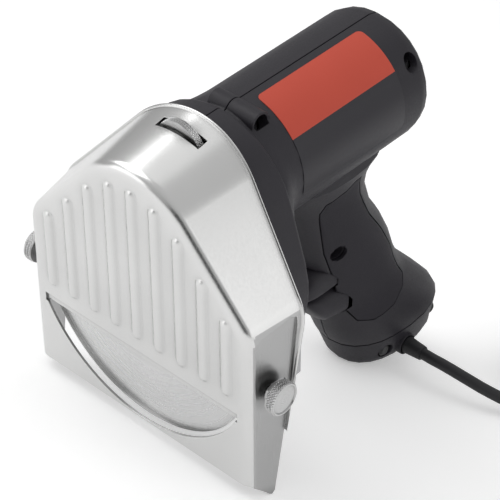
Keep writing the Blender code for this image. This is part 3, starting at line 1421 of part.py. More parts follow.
def tube(name, points, radius, resolution, material):
    """Run a round tube with capped ends along points."""
    curve = bpy.data.curves.new(name, "CURVE")
    curve.dimensions = "3D"
    curve.bevel_depth = radius
    curve.bevel_resolution = resolution
    curve.use_fill_caps = True
    run = curve.splines.new("POLY")
    run.points.add(len(points) - 1)
    for item, point in zip(run.points, points):
        item.co = (*point, 1)
    curve.materials.append(material)
    made = bpy.data.objects.new(name, curve)
    bpy.context.scene.collection.objects.link(made)
    return made


def coil_points(centre, base, turns):
    """Wind the coil: each layer spirals in or out, and climbs in the half turn where it turns back."""
    pitch = 2 * CORD_RADIUS + COIL_GAP
    per_layer = turns / COIL_LAYERS
    outer = COIL_MID_RADIUS + pitch * per_layer / 2
    count = math.ceil(turns * COIL_TURN_POINTS)
    points = []
    for index in range(count + 1):
        turned_by = turns * index / count
        layer = min(COIL_LAYERS - 1, int(turned_by / per_layer))
        within = turned_by - layer * per_layer
        inward = within if layer % 2 == 0 else per_layer - within
        radius = outer - pitch * inward
        climbed = 0
        for change in range(1, COIL_LAYERS):
            share = min(1, max(0, (turned_by - change * per_layer) * 2 + 1 / 2))
            climbed += share * share * (3 - 2 * share)
        angle = math.tau * turned_by - math.pi / 2 + COIL_HEADING
        across = centre[0] + radius * math.cos(angle)
        along = centre[1] + radius * math.sin(angle)
        points.append(Vector((across, along, base + pitch * climbed)))
    first = (points[0] - points[1]).normalized() * 2 * CORD_RADIUS
    last = (points[-1] - points[-2]).normalized() * 2 * CORD_RADIUS
    return [points[0] + first] + points + [points[-1] + last]


def least_gap(points):
    """Return the least gap of the coil to itself, measured between its points and its runs."""
    nearest = math.inf
    apart = COIL_TURN_POINTS // 2
    for index, point in enumerate(points):
        for other in range(index + apart, len(points) - 1):
            start = points[other]
            run = points[other + 1] - start
            share = min(1, max(0, (point - start).dot(run) / run.length_squared))
            nearest = min(nearest, (point - start - run * share).length)
    return nearest - 2 * CORD_RADIUS


def eased(share):
    """Return a share that starts and ends gently."""
    held = min(1, max(0, share))
    return held * held * (3 - 2 * held)


def tail_points(centre, end, outer, lift):
    """Lead the tail round the coil's outside, out to the plug's line and down to the plug.

    The coil's centre is flat, end is where the coil stops and lift is its top layer's height.
    """
    start = math.atan2(end.y - centre[1], end.x - centre[0])
    near = math.hypot(end.x - centre[0], end.y - centre[1])
    line = outer + CORD_RADIUS + TAIL_GAP + PLUG_WIDTH / 2
    rest = PLUG_THICKNESS / 2 + FIT / 2
    points = []
    for index in range(1, TAIL_POINTS + 1):
        share = index / TAIL_POINTS
        angle = start + TAIL_SWEEP * share
        radius = near + (line - near) * math.sin(math.pi / 2 * share)
        fallen = eased((share - TAIL_FALL_START_SHARE) / (1 - TAIL_FALL_START_SHARE))
        across = centre[0] + radius * math.cos(angle)
        along = centre[1] + radius * math.sin(angle)
        points.append(Vector((across, along, lift + (rest - lift) * fallen)))
    return points


def wind_turns(free_length, pitch, lift):
    """Return how many turns use up the lead's length between its free stretch and its tail."""
    turns = CORD_LENGTH / (math.tau * COIL_MID_RADIUS)
    for _ in range(COIL_LAYERS):
        outer = COIL_MID_RADIUS + pitch * turns / COIL_LAYERS / 2
        end = Vector((outer, 2 * CORD_RADIUS, lift))
        tail = [end] + tail_points((0, 0), end, outer, lift)
        wound = CORD_LENGTH - free_length - route_length(smooth_route(tail, CORD_STEP)) - 4 * CORD_RADIUS
        turns = wound / (math.tau * COIL_MID_RADIUS)
    return turns


def make_lead(exit_point, cord_finish, tie_finish, metal):
    """Lay the mains lead: a free stretch, the tied coil, a short tail and the plug."""
    route = [exit_point + Vector((END_GAP, 0, 0)), exit_point + Vector((2 * CORD_RADIUS, 0, 0))]
    base = TIE_THICKNESS + 2 * FIT + CORD_RADIUS
    for (across, along), share in zip(CORD_ROUTE, CORD_DROP_SHARES):
        height = base + (exit_point.z - base) * share
        route.append(Vector((exit_point.x + across, exit_point.y + along, height)))
    joint = Vector((exit_point.x + COIL_JOIN[0], exit_point.y + COIL_JOIN[1], base))
    heading = Vector((math.cos(COIL_HEADING), math.sin(COIL_HEADING), 0))
    route += [joint - heading * CORD_STEP, joint]
    free = smooth_route(route, CORD_STEP)
    pitch = 2 * CORD_RADIUS + COIL_GAP
    lift = base + pitch * (COIL_LAYERS - 1)
    turns = wind_turns(route_length(free), pitch, lift)
    outer = COIL_MID_RADIUS + pitch * turns / COIL_LAYERS / 2
    start = joint + heading * (2 * CORD_RADIUS + END_GAP)
    centre = (start.x - heading.y * outer, start.y + heading.x * outer)
    coil = coil_points(centre, base, turns)
    print("coil gap to itself in mm:", round(least_gap(coil) * 1000, 3))
    ahead = (coil[-1] - coil[-2]).normalized()
    tail_route = [coil[-1] + ahead * END_GAP, coil[-1] + ahead * (END_GAP + CORD_RADIUS)]
    tail_route += tail_points(centre, coil[-1], outer, lift)
    tail = smooth_route(tail_route, CORD_STEP)
    print("lead length in m:", round(sum(route_length(run) for run in (free, coil, tail)), 4))
    pieces = [
        tube("cord", free, CORD_RADIUS, CORD_RESOLUTION, cord_finish),
        tube("cord_coil", coil, CORD_RADIUS, COIL_RESOLUTION, cord_finish),
        tube("cord_tail", tail, CORD_RADIUS, CORD_RESOLUTION, cord_finish),
        make_tie(centre, outer, pitch * turns / COIL_LAYERS, lift, tie_finish),
        make_plug(tail[-1], (tail[-1] - tail[-2]).normalized(), cord_finish, metal),
    ]
    return pieces


def make_tie(centre, outer, spread, lift, material):
    """Bend the flat tie round all the coil's turns at its near side."""
    near = centre[1] - outer - CORD_RADIUS - FIT
    far = centre[1] - outer + spread + CORD_RADIUS + FIT
    top = lift + CORD_RADIUS + FIT
    low = TIE_THICKNESS + FIT / 2

    def loop(grow):
        """Return the tie's rounded loop, moved out by grow."""
        radius = TIE_CORNER + grow
        corners = (
            (far - TIE_CORNER + TIE_CORNER, top, 0),
            (near, top, math.pi / 2),
            (near, low, math.pi),
            (far, low, 3 * math.pi / 2),
        )
        points = []
        for along, up, start in corners:
            inward = TIE_CORNER
            middle = (along - math.copysign(inward, along - (near + far) / 2),
                      up - math.copysign(inward, up - (low + top) / 2))
            points += arc(middle, radius, start, start + math.pi / 2, CAP_EDGE_STEPS)
        return points

    ends = (centre[0] - TIE_WIDTH / 2, centre[0] + TIE_WIDTH / 2)
    tie = prism("coil_tie", loop(TIE_THICKNESS), "X", ends[0], ends[1])
    carve(tie, prism("inside", loop(0), "X", ends[0] - SHEET, ends[1] + SHEET))
    dress(tie, material)
    return tie


def make_plug(end, ahead, material, metal):
    """Mould the flat two-pin plug in line with the end of the lead."""
    rings = []
    neck = superellipse(PLUG_NECK_RADIUS, PLUG_NECK_RADIUS, 2, PLUG_STEPS)
    rings.append([Vector((0, across, up)) for across, up in neck])
    for along, width, thickness in PLUG_SHARES:
        section = superellipse(PLUG_WIDTH / 2 * width, PLUG_THICKNESS / 2 * thickness, PLUG_SQUARENESS_SHARE,
                               PLUG_STEPS)
        depth = PLUG_NECK_LENGTH + (PLUG_LENGTH - PLUG_NECK_LENGTH) * along
        rings.append([Vector((depth, across, up)) for across, up in section])
    plug = lofted("plug", rings)
    for side in (-1, 1):
        place = (side * PIN_PITCH / 2, 0)
        join(plug, bar("pin", "X", place, PLUG_LENGTH - SHEET, PLUG_LENGTH + PIN_LENGTH, PIN_RADIUS))
    dress(plug, material)
    heading = math.atan2(ahead.y, ahead.x)
    plug.rotation_euler = (0, 0, heading)
    level = Vector((math.cos(heading), math.sin(heading), 0))
    plug.location = Vector((end.x, end.y, PLUG_THICKNESS / 2 + FIT / 2)) + level * END_GAP
    return plug


def screw_list():
    """Return each seam screw's name, place, seat and length."""
    top = (TOP_BOSS_DEPTH, TOP_BOSS_HEIGHT, TOP_SCREW_SEAT, TOP_SCREW_SEAT - TOP_BOSS_LEFT - WALL)
    rear = (REAR_SCREW_DEPTH, REAR_SCREW_HEIGHT, REAR_SCREW_SEAT, 2 * REAR_SCREW_SEAT - SHEET)
    grip = (HANDLE_SCREW_DEPTH, HANDLE_SCREW_HEIGHT, HANDLE_SCREW_SEAT, 2 * HANDLE_SCREW_SEAT - SHEET)
    front_length = CAP_FRONT_SCREW_SEAT + CAP_SCREW_REACH
    rear_length = CAP_REAR_SCREW_SEAT + LUG_REAR_HALF_WIDTH / 2
    return [
        ("housing_screw_top", *top),
        ("housing_screw_rear", *rear),
        ("housing_screw_grip", *grip),
        ("foot_screw_front", CAP_FRONT_SCREW_DEPTH, CAP_SCREW_HEIGHT, CAP_FRONT_SCREW_SEAT, front_length),
        ("foot_screw_rear", CAP_REAR_SCREW_DEPTH, CAP_SCREW_HEIGHT, CAP_REAR_SCREW_SEAT, rear_length),
    ]


def settle(item, parent, origin=(0, 0, 0)):
    """Move an object's origin to a point of the tool frame and hang it on the frame's empty."""
    item.data.transform(Matrix.Translation(-Vector(origin)))
    item.parent = parent
    item.location = origin


def lowest(item, tilt):
    """Return the height of a piece's lowest point when the tool is tipped by tilt."""
    place = item.location
    heights = []
    for vertex in item.data.vertices:
        point = place + vertex.co
        heights.append(point.y * math.sin(tilt) + point.z * math.cos(tilt))
    return min(heights)


def resting_tilt(front, rear):
    """Return the tilt at which the lowest points of two pieces share one floor."""
    low = 0
    high = math.pi / 4
    for _ in range(TILT_STEPS):
        middle = (low + high) / 2
        if lowest(rear, middle) < lowest(front, middle):
            low = middle
        else:
            high = middle
    return (low + high) / 2


def stand(frame):
    """Move the frame so that the tool stands at the world's origin, centred on its own box."""
    bpy.context.view_layer.update()
    corners = []
    for item in frame.children:
        corners += [item.matrix_world @ vertex.co for vertex in item.data.vertices]
    low = [min(corner[axis] for corner in corners) for axis in range(3)]
    high = [max(corner[axis] for corner in corners) for axis in range(3)]
    frame.location = (-(low[0] + high[0]) / 2, -(low[1] + high[1]) / 2, -low[2])
    bpy.context.view_layer.update()


def build():
    """Make every piece, then tip the tool onto its resting points."""
    clear_scene()
    steel = finish("brushed_steel", (0.58, 0.58, 0.57), 1.0, 0.3)
    blade_steel = finish("blade_steel", (0.62, 0.62, 0.62), 1.0, 0.24)
    zinc = finish("plated_steel", (0.5, 0.5, 0.52), 1.0, 0.35)
    alloy = finish("cast_alloy", (0.42, 0.43, 0.45), 0.9, 0.5)
    plastic = finish("charcoal_plastic", (0.036, 0.034, 0.041), 0, 0.45)
    soft = finish("soft_grip", (0.032, 0.03, 0.036), 0, 0.65)
    rubber = finish("black_rubber", (0.02, 0.02, 0.022), 0, 0.7)

    blade_axis = (0, BLADE_FRONT, BLADE_HEIGHT)
    motor_axis = (0, PULLEY_FRONT, MOTOR_HEIGHT)
    wheel_axis = (0, WHEEL_FRONT, WHEEL_HEIGHT)
    frame = bpy.data.objects.new("tool_frame", None)
    bpy.context.scene.collection.objects.link(frame)

    settle(make_cover(steel), frame)
    settle(make_fork(zinc), frame)
    settle(make_wheel(steel), frame, wheel_axis)
    settle(make_adjuster(zinc), frame)
    for side, word in ((-1, "left"), (1, "right")):
        settle(make_bracket(side, "side_bracket_" + word, zinc), frame)
        knob_seat = (side * KNOB_SEAT, KNOB_DEPTH, KNOB_HEIGHT)
        settle(make_knob(side, "clamp_knob_" + word, steel), frame, knob_seat)
        settle(make_grip_panel(side, "grip_panel_" + word, soft), frame)
    settle(make_blade(blade_steel), frame, blade_axis)
    settle(make_blade_screw(zinc), frame, blade_axis)
    settle(make_spindle(zinc), frame, blade_axis)
    sizes = (BLADE_HEIGHT, BLADE_PULLEY_RADIUS, BLADE_GROOVES, SPINDLE_RADIUS + FIT)
    settle(make_pulley("blade_pulley", *sizes, alloy), frame, blade_axis)
    settle(make_bearing("bearing_front", BEARING_FRONT, zinc), frame)
    settle(make_bearing("bearing_rear", BEARING_FRONT + BEARING_SPACING, zinc), frame)
    settle(make_bearing_housing(alloy), frame)
    settle(make_chassis_plate(alloy), frame)
    for index, place in enumerate(chassis_screw_places()):
        name = "chassis_screw_" + str(index + 1)
        screw = make_screw(name, "Y", place, CHASSIS_FRONT - FIT, 1, CHASSIS_SCREW_REACH, zinc)
        settle(screw, frame)
    settle(make_belt(rubber), frame)
    settle(make_motor_can(zinc), frame)
    settle(make_motor_cap(plastic), frame)
    shaft = bar("motor_shaft", "Y", (0, MOTOR_HEIGHT), PULLEY_FRONT - FIT,
                MOTOR_CAN_REAR + MOTOR_CAP_THICKNESS + MOTOR_CAP_BOSS, MOTOR_SHAFT_RADIUS, ROUND_STEPS, zinc)
    settle(shaft, frame, motor_axis)
    sizes = (MOTOR_HEIGHT, MOTOR_PULLEY_RADIUS, MOTOR_GROOVES, MOTOR_SHAFT_RADIUS + FIT)
    settle(make_pulley("motor_pulley", *sizes, alloy), frame, motor_axis)
    for half in make_housing(plastic):
        settle(half, frame)
    settle(make_trigger(plastic), frame, (0, TRIGGER_REAR, PLUNGER_HEIGHT))
    settle(make_switch(plastic), frame)
    settle(make_foot_cap(plastic), frame)
    settle(make_grommet(rubber), frame)
    for name, depth, height, seat, length in screw_list():
        settle(make_screw(name, "X", (depth, height), seat + FIT, -1, length, zinc), frame)

    frame.rotation_euler = (resting_tilt(bpy.data.objects["cover"], bpy.data.objects["foot_cap"]), 0, 0)
    stand(frame)
    exit_point = frame.matrix_world @ Vector((GROMMET_END, EXIT_DEPTH, EXIT_HEIGHT))
    make_lead(exit_point, rubber, soft, zinc)


if __name__ == "__main__":
    build()
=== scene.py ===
"""Dresses a hand-held kebab slicer: a round blade behind a pressed steel cover, a motor and a pistol grip.

New pieces are modelled in the tool's own frame, in metres: X to the right, Y back along the motor and
Z up, with the origin on the front plate's lower edge. ToolFrame then tips each piece onto the points
that the tool rests on. The works inside keep their CAD shapes and get their own finishes.
"""

import json
import logging
import math
from dataclasses import dataclass
from enum import Enum
from typing import Callable, Iterable, Sequence

import bmesh
import bpy
from mathutils import Matrix, Vector, kdtree


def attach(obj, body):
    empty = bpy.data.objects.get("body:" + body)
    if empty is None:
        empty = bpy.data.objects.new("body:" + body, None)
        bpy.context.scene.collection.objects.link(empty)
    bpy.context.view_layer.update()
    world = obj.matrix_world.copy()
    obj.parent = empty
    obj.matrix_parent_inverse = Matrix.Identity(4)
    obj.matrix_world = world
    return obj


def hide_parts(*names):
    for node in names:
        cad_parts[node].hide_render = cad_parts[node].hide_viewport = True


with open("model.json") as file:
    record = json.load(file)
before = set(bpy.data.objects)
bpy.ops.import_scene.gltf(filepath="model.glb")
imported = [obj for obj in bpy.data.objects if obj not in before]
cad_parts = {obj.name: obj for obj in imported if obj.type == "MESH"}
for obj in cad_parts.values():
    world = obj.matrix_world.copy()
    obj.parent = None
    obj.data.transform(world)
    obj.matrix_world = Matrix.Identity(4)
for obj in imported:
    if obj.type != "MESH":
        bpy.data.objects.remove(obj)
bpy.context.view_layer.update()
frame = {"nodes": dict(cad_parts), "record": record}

Point = tuple[float, float]
Triple = tuple[float, float, float]
Ring = list[Vector]
Piece = bpy.types.Object
Material = bpy.types.Material
Socket = bpy.types.NodeSocket
FaceTest = Callable[[bpy.types.MeshPolygon], bool]

OVERRUN = 0.012
QUARTER = math.pi / 2

log = logging.getLogger("kebab_slicer")


class Axis(Enum):
    """The tool frame's axes."""

    X = "X"
    Y = "Y"
    Z = "Z"


class Carve(Enum):
    """How one solid acts on another."""

    CUT = "DIFFERENCE"
    FUSE = "UNION"


class Body(Enum):
    """The CAD bodies that pieces ride on."""

    HOUSING = "housing"
    COVER = "cover_unit"
    THUMBWHEEL = "thumbwheel"
    BLADE = "blade_unit"
    CLAMP_LEFT = "clamp_left"
    CLAMP_RIGHT = "clamp_right"
    TRIGGER = "trigger"


class Slot(Enum):
    """The record's material slots."""

    STEEL = "brushed_steel"
    BLADE = "blade_steel"
    PLATED = "plated_steel"
    ALLOY = "cast_alloy"
    PLASTIC = "charcoal_plastic"
    GRIP = "soft_grip"
    RUBBER = "black_rubber"


def on_plane(axis: Axis, across: float, up: float, along: float) -> Vector:
    """Place a flat point on the plane square to an axis.

    Args:
        axis: The axis that the plane is square to.
        across: The point's first coordinate on the plane.
        up: The point's second coordinate on the plane.
        along: The plane's distance along the axis.

    Returns:
        The point in the tool frame.
    """
    if axis is Axis.X:
        return Vector((along, across, up))
    if axis is Axis.Y:
        return Vector((across, along, up))
    return Vector((across, up, along))


def polar(centre: Point, radius: float, angle: float) -> Point:
    """Return the flat point at a radius and an angle from a centre."""
    return centre[0] + radius * math.cos(angle), centre[1] + radius * math.sin(angle)


def eased(share: float) -> float:
    """Return a share that starts and stops gently."""
    return share * share * (3 - 2 * share)


def arc(centre: Point, radius: float, start: float, end: float, steps: int) -> list[Point]:
    """Return points on an arc, both ends included.

    Args:
        centre: The arc's centre.
        radius: The arc's radius.
        start: The first point's angle, in radians.
        end: The last point's angle, in radians.
        steps: The number of chords.

    Returns:
        The points, one more than the chords.
    """
    return [polar(centre, radius, start + (end - start) * step / steps) for step in range(steps + 1)]


def circle(centre: Point, radius: float, steps: int) -> list[Point]:
    """Return a closed circle's points, each one once."""
    return arc(centre, radius, 0, math.tau * (1 - 1 / steps), steps - 1)


def ring_on(axis: Axis, outline: Iterable[Point], along: float) -> Ring:
    """Stand a flat outline on the plane square to an axis."""
    return [on_plane(axis, across, up, along) for across, up in outline]


class ToolFrame:
    """The tool's own frame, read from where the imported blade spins."""

    blade_front = 0.0032
    blade_height = 0.0503

    def __init__(self, joints: list[dict]) -> None:
        """Work out the frame's matrix from the blade's joint.

        Args:
            joints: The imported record's joints.
        """
        spin = next(joint for joint in joints if joint["name"] == "blade_spin")
        back = Vector(spin["axis"]).normalized()
        right = Vector((1, 0, 0))
        up = right.cross(back)
        origin = Vector(spin["pos_m"]) - back * self.blade_front - up * self.blade_height
        turn = Matrix((right, back, up)).transposed()
        self.matrix = Matrix.Translation(origin) @ turn.to_4x4()
        self.tilt = math.atan2(back.z, back.y)

    def point(self, *place: float) -> Vector:
        """Return a tool-frame point in the row frame."""
        return self.matrix @ Vector(place)

    def tip(self, piece: Piece) -> None:
        """Move a piece from the tool frame to the row frame and apply its place to its mesh.

        Args:
            piece: The piece, modelled in the tool frame.
        """
        Workbench.pick(piece)
        piece.matrix_world = self.matrix @ piece.matrix_world
        bpy.ops.object.transform_apply(location=True, rotation=True, scale=True)


class Workbench:
    """The modelling operators, each run with nothing else selected."""

    sharp_angle = math.radians(32)
    merge_distance = 0.000004
    flat_angle = math.radians(0.6)
    drill_steps = 48
    edge_angle = 38.0

    @staticmethod
    def clear() -> None:
        """Leave edit mode and deselect everything."""
        if bpy.context.object and bpy.context.object.mode != "OBJECT":
            bpy.ops.object.mode_set(mode="OBJECT")
        bpy.ops.object.select_all(action="DESELECT")

    @classmethod
    def pick(cls, piece: Piece) -> None:
        """Select one piece alone and make it active.

        Args:
            piece: The piece.
        """
        cls.clear()
        piece.select_set(True)
        bpy.context.view_layer.objects.active = piece

    @classmethod
    def edit(cls, piece: Piece) -> None:
        """Open one piece in edit mode with all of it selected.

        Args:
            piece: The piece.
        """
        cls.pick(piece)
        bpy.ops.object.mode_set(mode="EDIT")
        bpy.ops.mesh.select_all(action="SELECT")

    @classmethod
    def modify(cls, piece: Piece, kind: str, **values: object) -> None:
        """Apply one modifier to a piece.

        Args:
            piece: The piece.
            kind: The modifier's type.
            values: Its settings.
        """
        cls.pick(piece)
        modifier = piece.modifiers.new(kind.title(), kind)
        for key, value in values.items():
            setattr(modifier, key, value)
        bpy.ops.object.modifier_apply(modifier=modifier.name)

    @staticmethod
    def added(name: str, data: bpy.types.ID) -> Piece:
        """Put new data into the scene as an object.

        Args:
            name: The object's name.
            data: What it shows.

        Returns:
            The new object.
        """
        piece = bpy.data.objects.new(name, data)
        bpy.context.scene.collection.objects.link(piece)
        return piece

    @classmethod
    def loft(cls, name: str, rings: Sequence[Ring]) -> Piece:
        """Extrude a capped solid from ring to ring.

        Args:
            name: The piece's name.
            rings: Closed rings with equal counts of points, in order.

        Returns:
            The closed solid.
        """
        cls.clear()
        bpy.ops.mesh.primitive_circle_add(vertices=len(rings[0]), radius=1, fill_type="NGON")
        piece = bpy.context.object
        piece.name = name
        piece.data.name = name
        for vertex, point in zip(piece.data.vertices, rings[0]):
            vertex.co = point
        cls.edit(piece)
        for before, after in zip(rings, rings[1:]):
            bpy.ops.mesh.extrude_region()
            cls.place_ring(piece, before, after)
        bpy.ops.mesh.select_all(action="SELECT")
        bpy.ops.mesh.normals_make_consistent(inside=False)
        bpy.ops.object.mode_set(mode="OBJECT")
        return piece

    @staticmethod
    def place_ring(piece: Piece, before: Ring, after: Ring) -> None:
        """Move the selected vertices from one ring's points to the next ring's.

        Args:
            piece: The piece in edit mode, with the new ring selected.
            before: Where the selected vertices are.
            after: Where they go.
        """
        finder = kdtree.KDTree(len(before))
        for index, point in enumerate(before):
            finder.insert(point, index)
        finder.balance()
        mesh = bmesh.from_edit_mesh(piece.data)
        for vertex in [item for item in mesh.verts if item.select]:
            vertex.co = after[finder.find(vertex.co)[1]]
        bmesh.update_edit_mesh(piece.data)

    @classmethod
    def prism(cls, name: str, outline: list[Point], axis: Axis, low: float, high: float) -> Piece:
        """Extrude a flat outline along an axis, from low to high."""
        return cls.loft(name, [ring_on(axis, outline, low), ring_on(axis, outline, high)])

    @classmethod
    def turned(cls, name: str, profile: Iterable[Point], axis: Axis, centre: Point, steps: int) -> Piece:
        """Turn a solid from (along, radius) points about an axis through a flat centre."""
        rings = [ring_on(axis, circle(centre, radius, steps), along) for along, radius in profile]
        return cls.loft(name, rings)

    @classmethod
    def drill(cls, axis: Axis, centre: Point, low: float, high: float, radius: float) -> Piece:
        """Return a round cutter along an axis."""
        return cls.turned("drill", ((low, radius), (high, radius)), axis, centre, cls.drill_steps)

    @classmethod
    def block(cls, name: str, low: Sequence[float], high: Sequence[float]) -> Piece:
        """Return a box between two corners, for use as a cutter.

        Args:
            name: The box's name.
            low: Its least corner.
            high: Its greatest corner.

        Returns:
            The box.
        """
        cls.clear()
        middle = [(least + most) / 2 for least, most in zip(low, high)]
        spans = [most - least for least, most in zip(low, high)]
        bpy.ops.mesh.primitive_cube_add(size=1, location=middle, scale=spans)
        bpy.ops.object.transform_apply(location=True, rotation=True, scale=True)
        bpy.context.object.name = name
        return bpy.context.object

    @classmethod
    def carve(cls, piece: Piece, tool: Piece, how: Carve = Carve.CUT) -> None:
        """Apply one exact Boolean and remove the tool object."""
        cls.modify(piece, "BOOLEAN", operation=how.value, solver="EXACT", object=tool)
        bpy.data.objects.remove(tool)

    @classmethod
    def soften(cls, piece: Piece, width: float, angle: float = edge_angle) -> None:
        """Round a piece's edges.

        Args:
            piece: The piece.
            width: The rounding's width, in metres.
            angle: The least angle between two faces that is rounded, in degrees.
        """
        limit = {"limit_method": "ANGLE", "angle_limit": math.radians(angle)}
        cls.modify(piece, "BEVEL", width=width, segments=2, use_clamp_overlap=False, **limit)

    @classmethod
    def shade(cls, piece: Piece, sharp_angle: float) -> None:
        """Shade round sides smooth and let large faces keep their direction.

        Args:
            piece: The piece.
            sharp_angle: The angle from which an edge stays sharp.
        """
        cls.pick(piece)
        bpy.ops.object.shade_smooth_by_angle(angle=sharp_angle)
        cls.modify(piece, "WEIGHTED_NORMAL", keep_sharp=True)

    @classmethod
    def refined(cls, node: str, name: str, edge: float) -> Piece:
        """Copy a CAD node, join what lies flat and round its edges.

        Args:
            node: The CAD node's name.
            name: The new piece's name.
            edge: The rounding's width, in metres.

        Returns:
            The copy, with its place in its mesh.
        """
        data = frame["nodes"][node].data.copy()
        data.materials.clear()
        piece = cls.added(name, data)
        cls.edit(piece)
        bpy.ops.mesh.customdata_custom_splitnormals_clear()
        bpy.ops.mesh.remove_doubles(threshold=cls.merge_distance)
        bpy.ops.mesh.dissolve_limited(angle_limit=cls.flat_angle)
        bpy.ops.object.mode_set(mode="OBJECT")
        cls.soften(piece, edge)
        return piece


def settle(node: bpy.types.Node, values: dict) -> None:
    """Set the values of a node's unlinked inputs."""
    for key, value in values.items():
        node.inputs[key].default_value = value


class Tree:
    """A node tree under construction."""

    def __init__(self, tree: bpy.types.NodeTree) -> None:
        """Take up a node tree."""
        self.tree = tree

    def add(self, kind: str, inputs: dict | None = None, **values: object) -> bpy.types.Node:
        """Add a node and set its properties and inputs.

        Args:
            kind: The node's type.
            inputs: The values of its unlinked inputs.
            values: Its properties.

        Returns:
            The node.
        """
        node = self.tree.nodes.new(kind)
        for key, value in values.items():
            setattr(node, key, value)
        settle(node, inputs or {})
        return node

    def link(self, source: Socket, target: Socket) -> None:
        """Join two sockets."""
        self.tree.links.new(source, target)

    def ramp(self, value: Socket, ends: Sequence[float], **values: object) -> Socket:
        """Map a value from the range of the first two ends to that of the last two.

        Args:
            value: The value.
            ends: The four ends.
            values: The node's properties.

        Returns:
            The mapped value.
        """
        names = ("From Min", "From Max", "To Min", "To Max")
        node = self.add("ShaderNodeMapRange", dict(zip(names, ends)), **values)
        self.link(value, node.inputs["Value"])
        return node.outputs["Result"]


class Sheet(Tree):
    """One material's node tree, whose patterns follow the tool's own axes."""

    # The painted shade: how far ambient occlusion looks, how sharply it darkens the colour and with how many
    # samples.
    shade_reach = 0.005
    shade_power = 2.6
    shade_samples = 8
    middle_range = (0.3, 0.7)
    drift_detail = 2

    def __init__(self, name: str, tilt: float) -> None:
        """Start a material.

        Args:
            name: The material's name.
            tilt: The tool frame's turn about X.
        """
        self.material = bpy.data.materials.new(name)
        self.material.use_nodes = True
        super().__init__(self.material.node_tree)
        self.shader = self.tree.nodes["Principled BSDF"]
        self.tilt = tilt

    def place(self, scale: Sequence[float], origin: Vector | None = None) -> Socket:
        """Return object coordinates turned to the tool's axes and scaled.

        Args:
            scale: The pattern's scale along each tool axis.
            origin: The row-frame point that becomes zero, if any.

        Returns:
            The vector socket.
        """
        vector = self.add("ShaderNodeTexCoord").outputs["Object"]
        steps = {"Location": -(origin or Vector()), "Rotation": (-self.tilt, 0, 0), "Scale": scale}
        for name, value in steps.items():
            node = self.add("ShaderNodeMapping", {name: value})
            self.link(vector, node.inputs["Vector"])
            vector = node.outputs["Vector"]
        return vector

    def noise(self, vector: Socket, detail: float = 3) -> Socket:
        """Return a noise pattern on a vector.

        Args:
            vector: Where the pattern lies.
            detail: Its number of octaves.

        Returns:
            The pattern.
        """
        node = self.add("ShaderNodeTexNoise", {"Scale": 1, "Detail": detail})
        self.link(vector, node.inputs["Vector"])
        return node.outputs["Fac"]

    def drift(self, scale: float) -> Socket:
        """Return a slow noise pattern."""
        return self.noise(self.place((scale,) * 3), self.drift_detail)

    def spread(self, pattern: Socket, low: float, high: float) -> Socket:
        """Map a pattern's middle range to low and high."""
        return self.ramp(pattern, (*self.middle_range, low, high))

    def relief(self, pattern: Socket, height: float) -> None:
        """Raise a pattern on the surface by a height in metres.

        Args:
            pattern: The pattern.
            height: The pattern's height.
        """
        node = self.add("ShaderNodeBump", {"Strength": 1, "Distance": height})
        self.link(pattern, node.inputs["Height"])
        self.link(node.outputs["Normal"], self.shader.inputs["Normal"])

    def blend(self, share: Socket, *ends: object) -> Socket:
        """Mix two ends, each a colour or a colour socket, by a share.

        Args:
            share: The second end's share.
            ends: The two ends.

        Returns:
            The mixed colour.
        """
        node = self.add("ShaderNodeMix", data_type="RGBA")
        self.link(share, node.inputs["Factor"])
        for socket, end in zip([item for item in node.inputs if item.type == "RGBA"], ends):
            if isinstance(end, Socket):
                self.link(end, socket)
            else:
                socket.default_value = end
        return next(item for item in node.outputs if item.type == "RGBA")

    def colour(self, pattern: Socket, base: Sequence[float], change: float, painted_shade: float = 0) -> None:
        """Let the base colour drift darker and lighter with a pattern, and paint shade into its hollows.

        Args:
            pattern: The pattern.
            base: The middle colour.
            change: The share by which the colour drifts each way.
            painted_shade: How much darker the colour is painted where ambient occlusion finds hollows,
                creases and nearby parts; this is painted shade.
        """
        shares = (1 - change, 1 + change, 1 - painted_shade)
        dark, light, shade_colour = [(*[part * share for part in base], 1) for share in shares]
        result = self.blend(self.spread(pattern, 0, 1), dark, light)
        # Painted shade: ambient occlusion paints the colour darker in hollows, creases and beside other
        # parts.
        if painted_shade:
            reach = {"Distance": self.shade_reach}
            occlusion = self.add("ShaderNodeAmbientOcclusion", reach, samples=self.shade_samples)
            unshaded_share = self.add("ShaderNodeMath", {1: self.shade_power}, operation="POWER")
            self.link(occlusion.outputs["AO"], unshaded_share.inputs[0])
            result = self.blend(unshaded_share.outputs["Value"], shade_colour, result)
        self.link(result, self.shader.inputs["Base Color"])


@dataclass(frozen=True)
class Finish:
    """A finish: its colour and gloss, the grain and slow drift that break them up, and the shade painted into
    its hollows.
    """

    name: str
    base: Triple
    roughness: float
    metallic: float = 0.0
    grain: Triple = (1400.0, 1400.0, 1400.0)
    height: float = 0.000004
    gloss_change: float = 0.05
    tone_change: float = 0.06
    drift: float = 45.0
    reflection: float = 0.5
    # Painted shade: the share by which the colour is painted darker in hollows and creases.
    painted_shade: float = 0.0

    def material(self, tilt: float) -> Material:
        """Return the finish as a material.

        Args:
            tilt: The tool frame's turn about X.

        Returns:
            The node material.
        """
        sheet = Sheet(self.name, tilt)
        return self.dress(sheet, sheet.noise(sheet.place(self.grain)))

    def dress(self, sheet: Sheet, fine: Socket) -> Material:
        """Give a sheet the finish, with its gloss and relief on a fine pattern.

        Args:
            sheet: The sheet.
            fine: The fine pattern.

        Returns:
            The node material.
        """
        settle(sheet.shader, {"Metallic": self.metallic, "Specular IOR Level": self.reflection})
        sheet.material.diffuse_color = (*self.base, 1)
        low, high = self.roughness - self.gloss_change, self.roughness + self.gloss_change
        sheet.link(sheet.spread(fine, low, high), sheet.shader.inputs["Roughness"])
        sheet.colour(sheet.drift(self.drift), self.base, self.tone_change, self.painted_shade)
        if self.height:
            sheet.relief(fine, self.height)
        return sheet.material


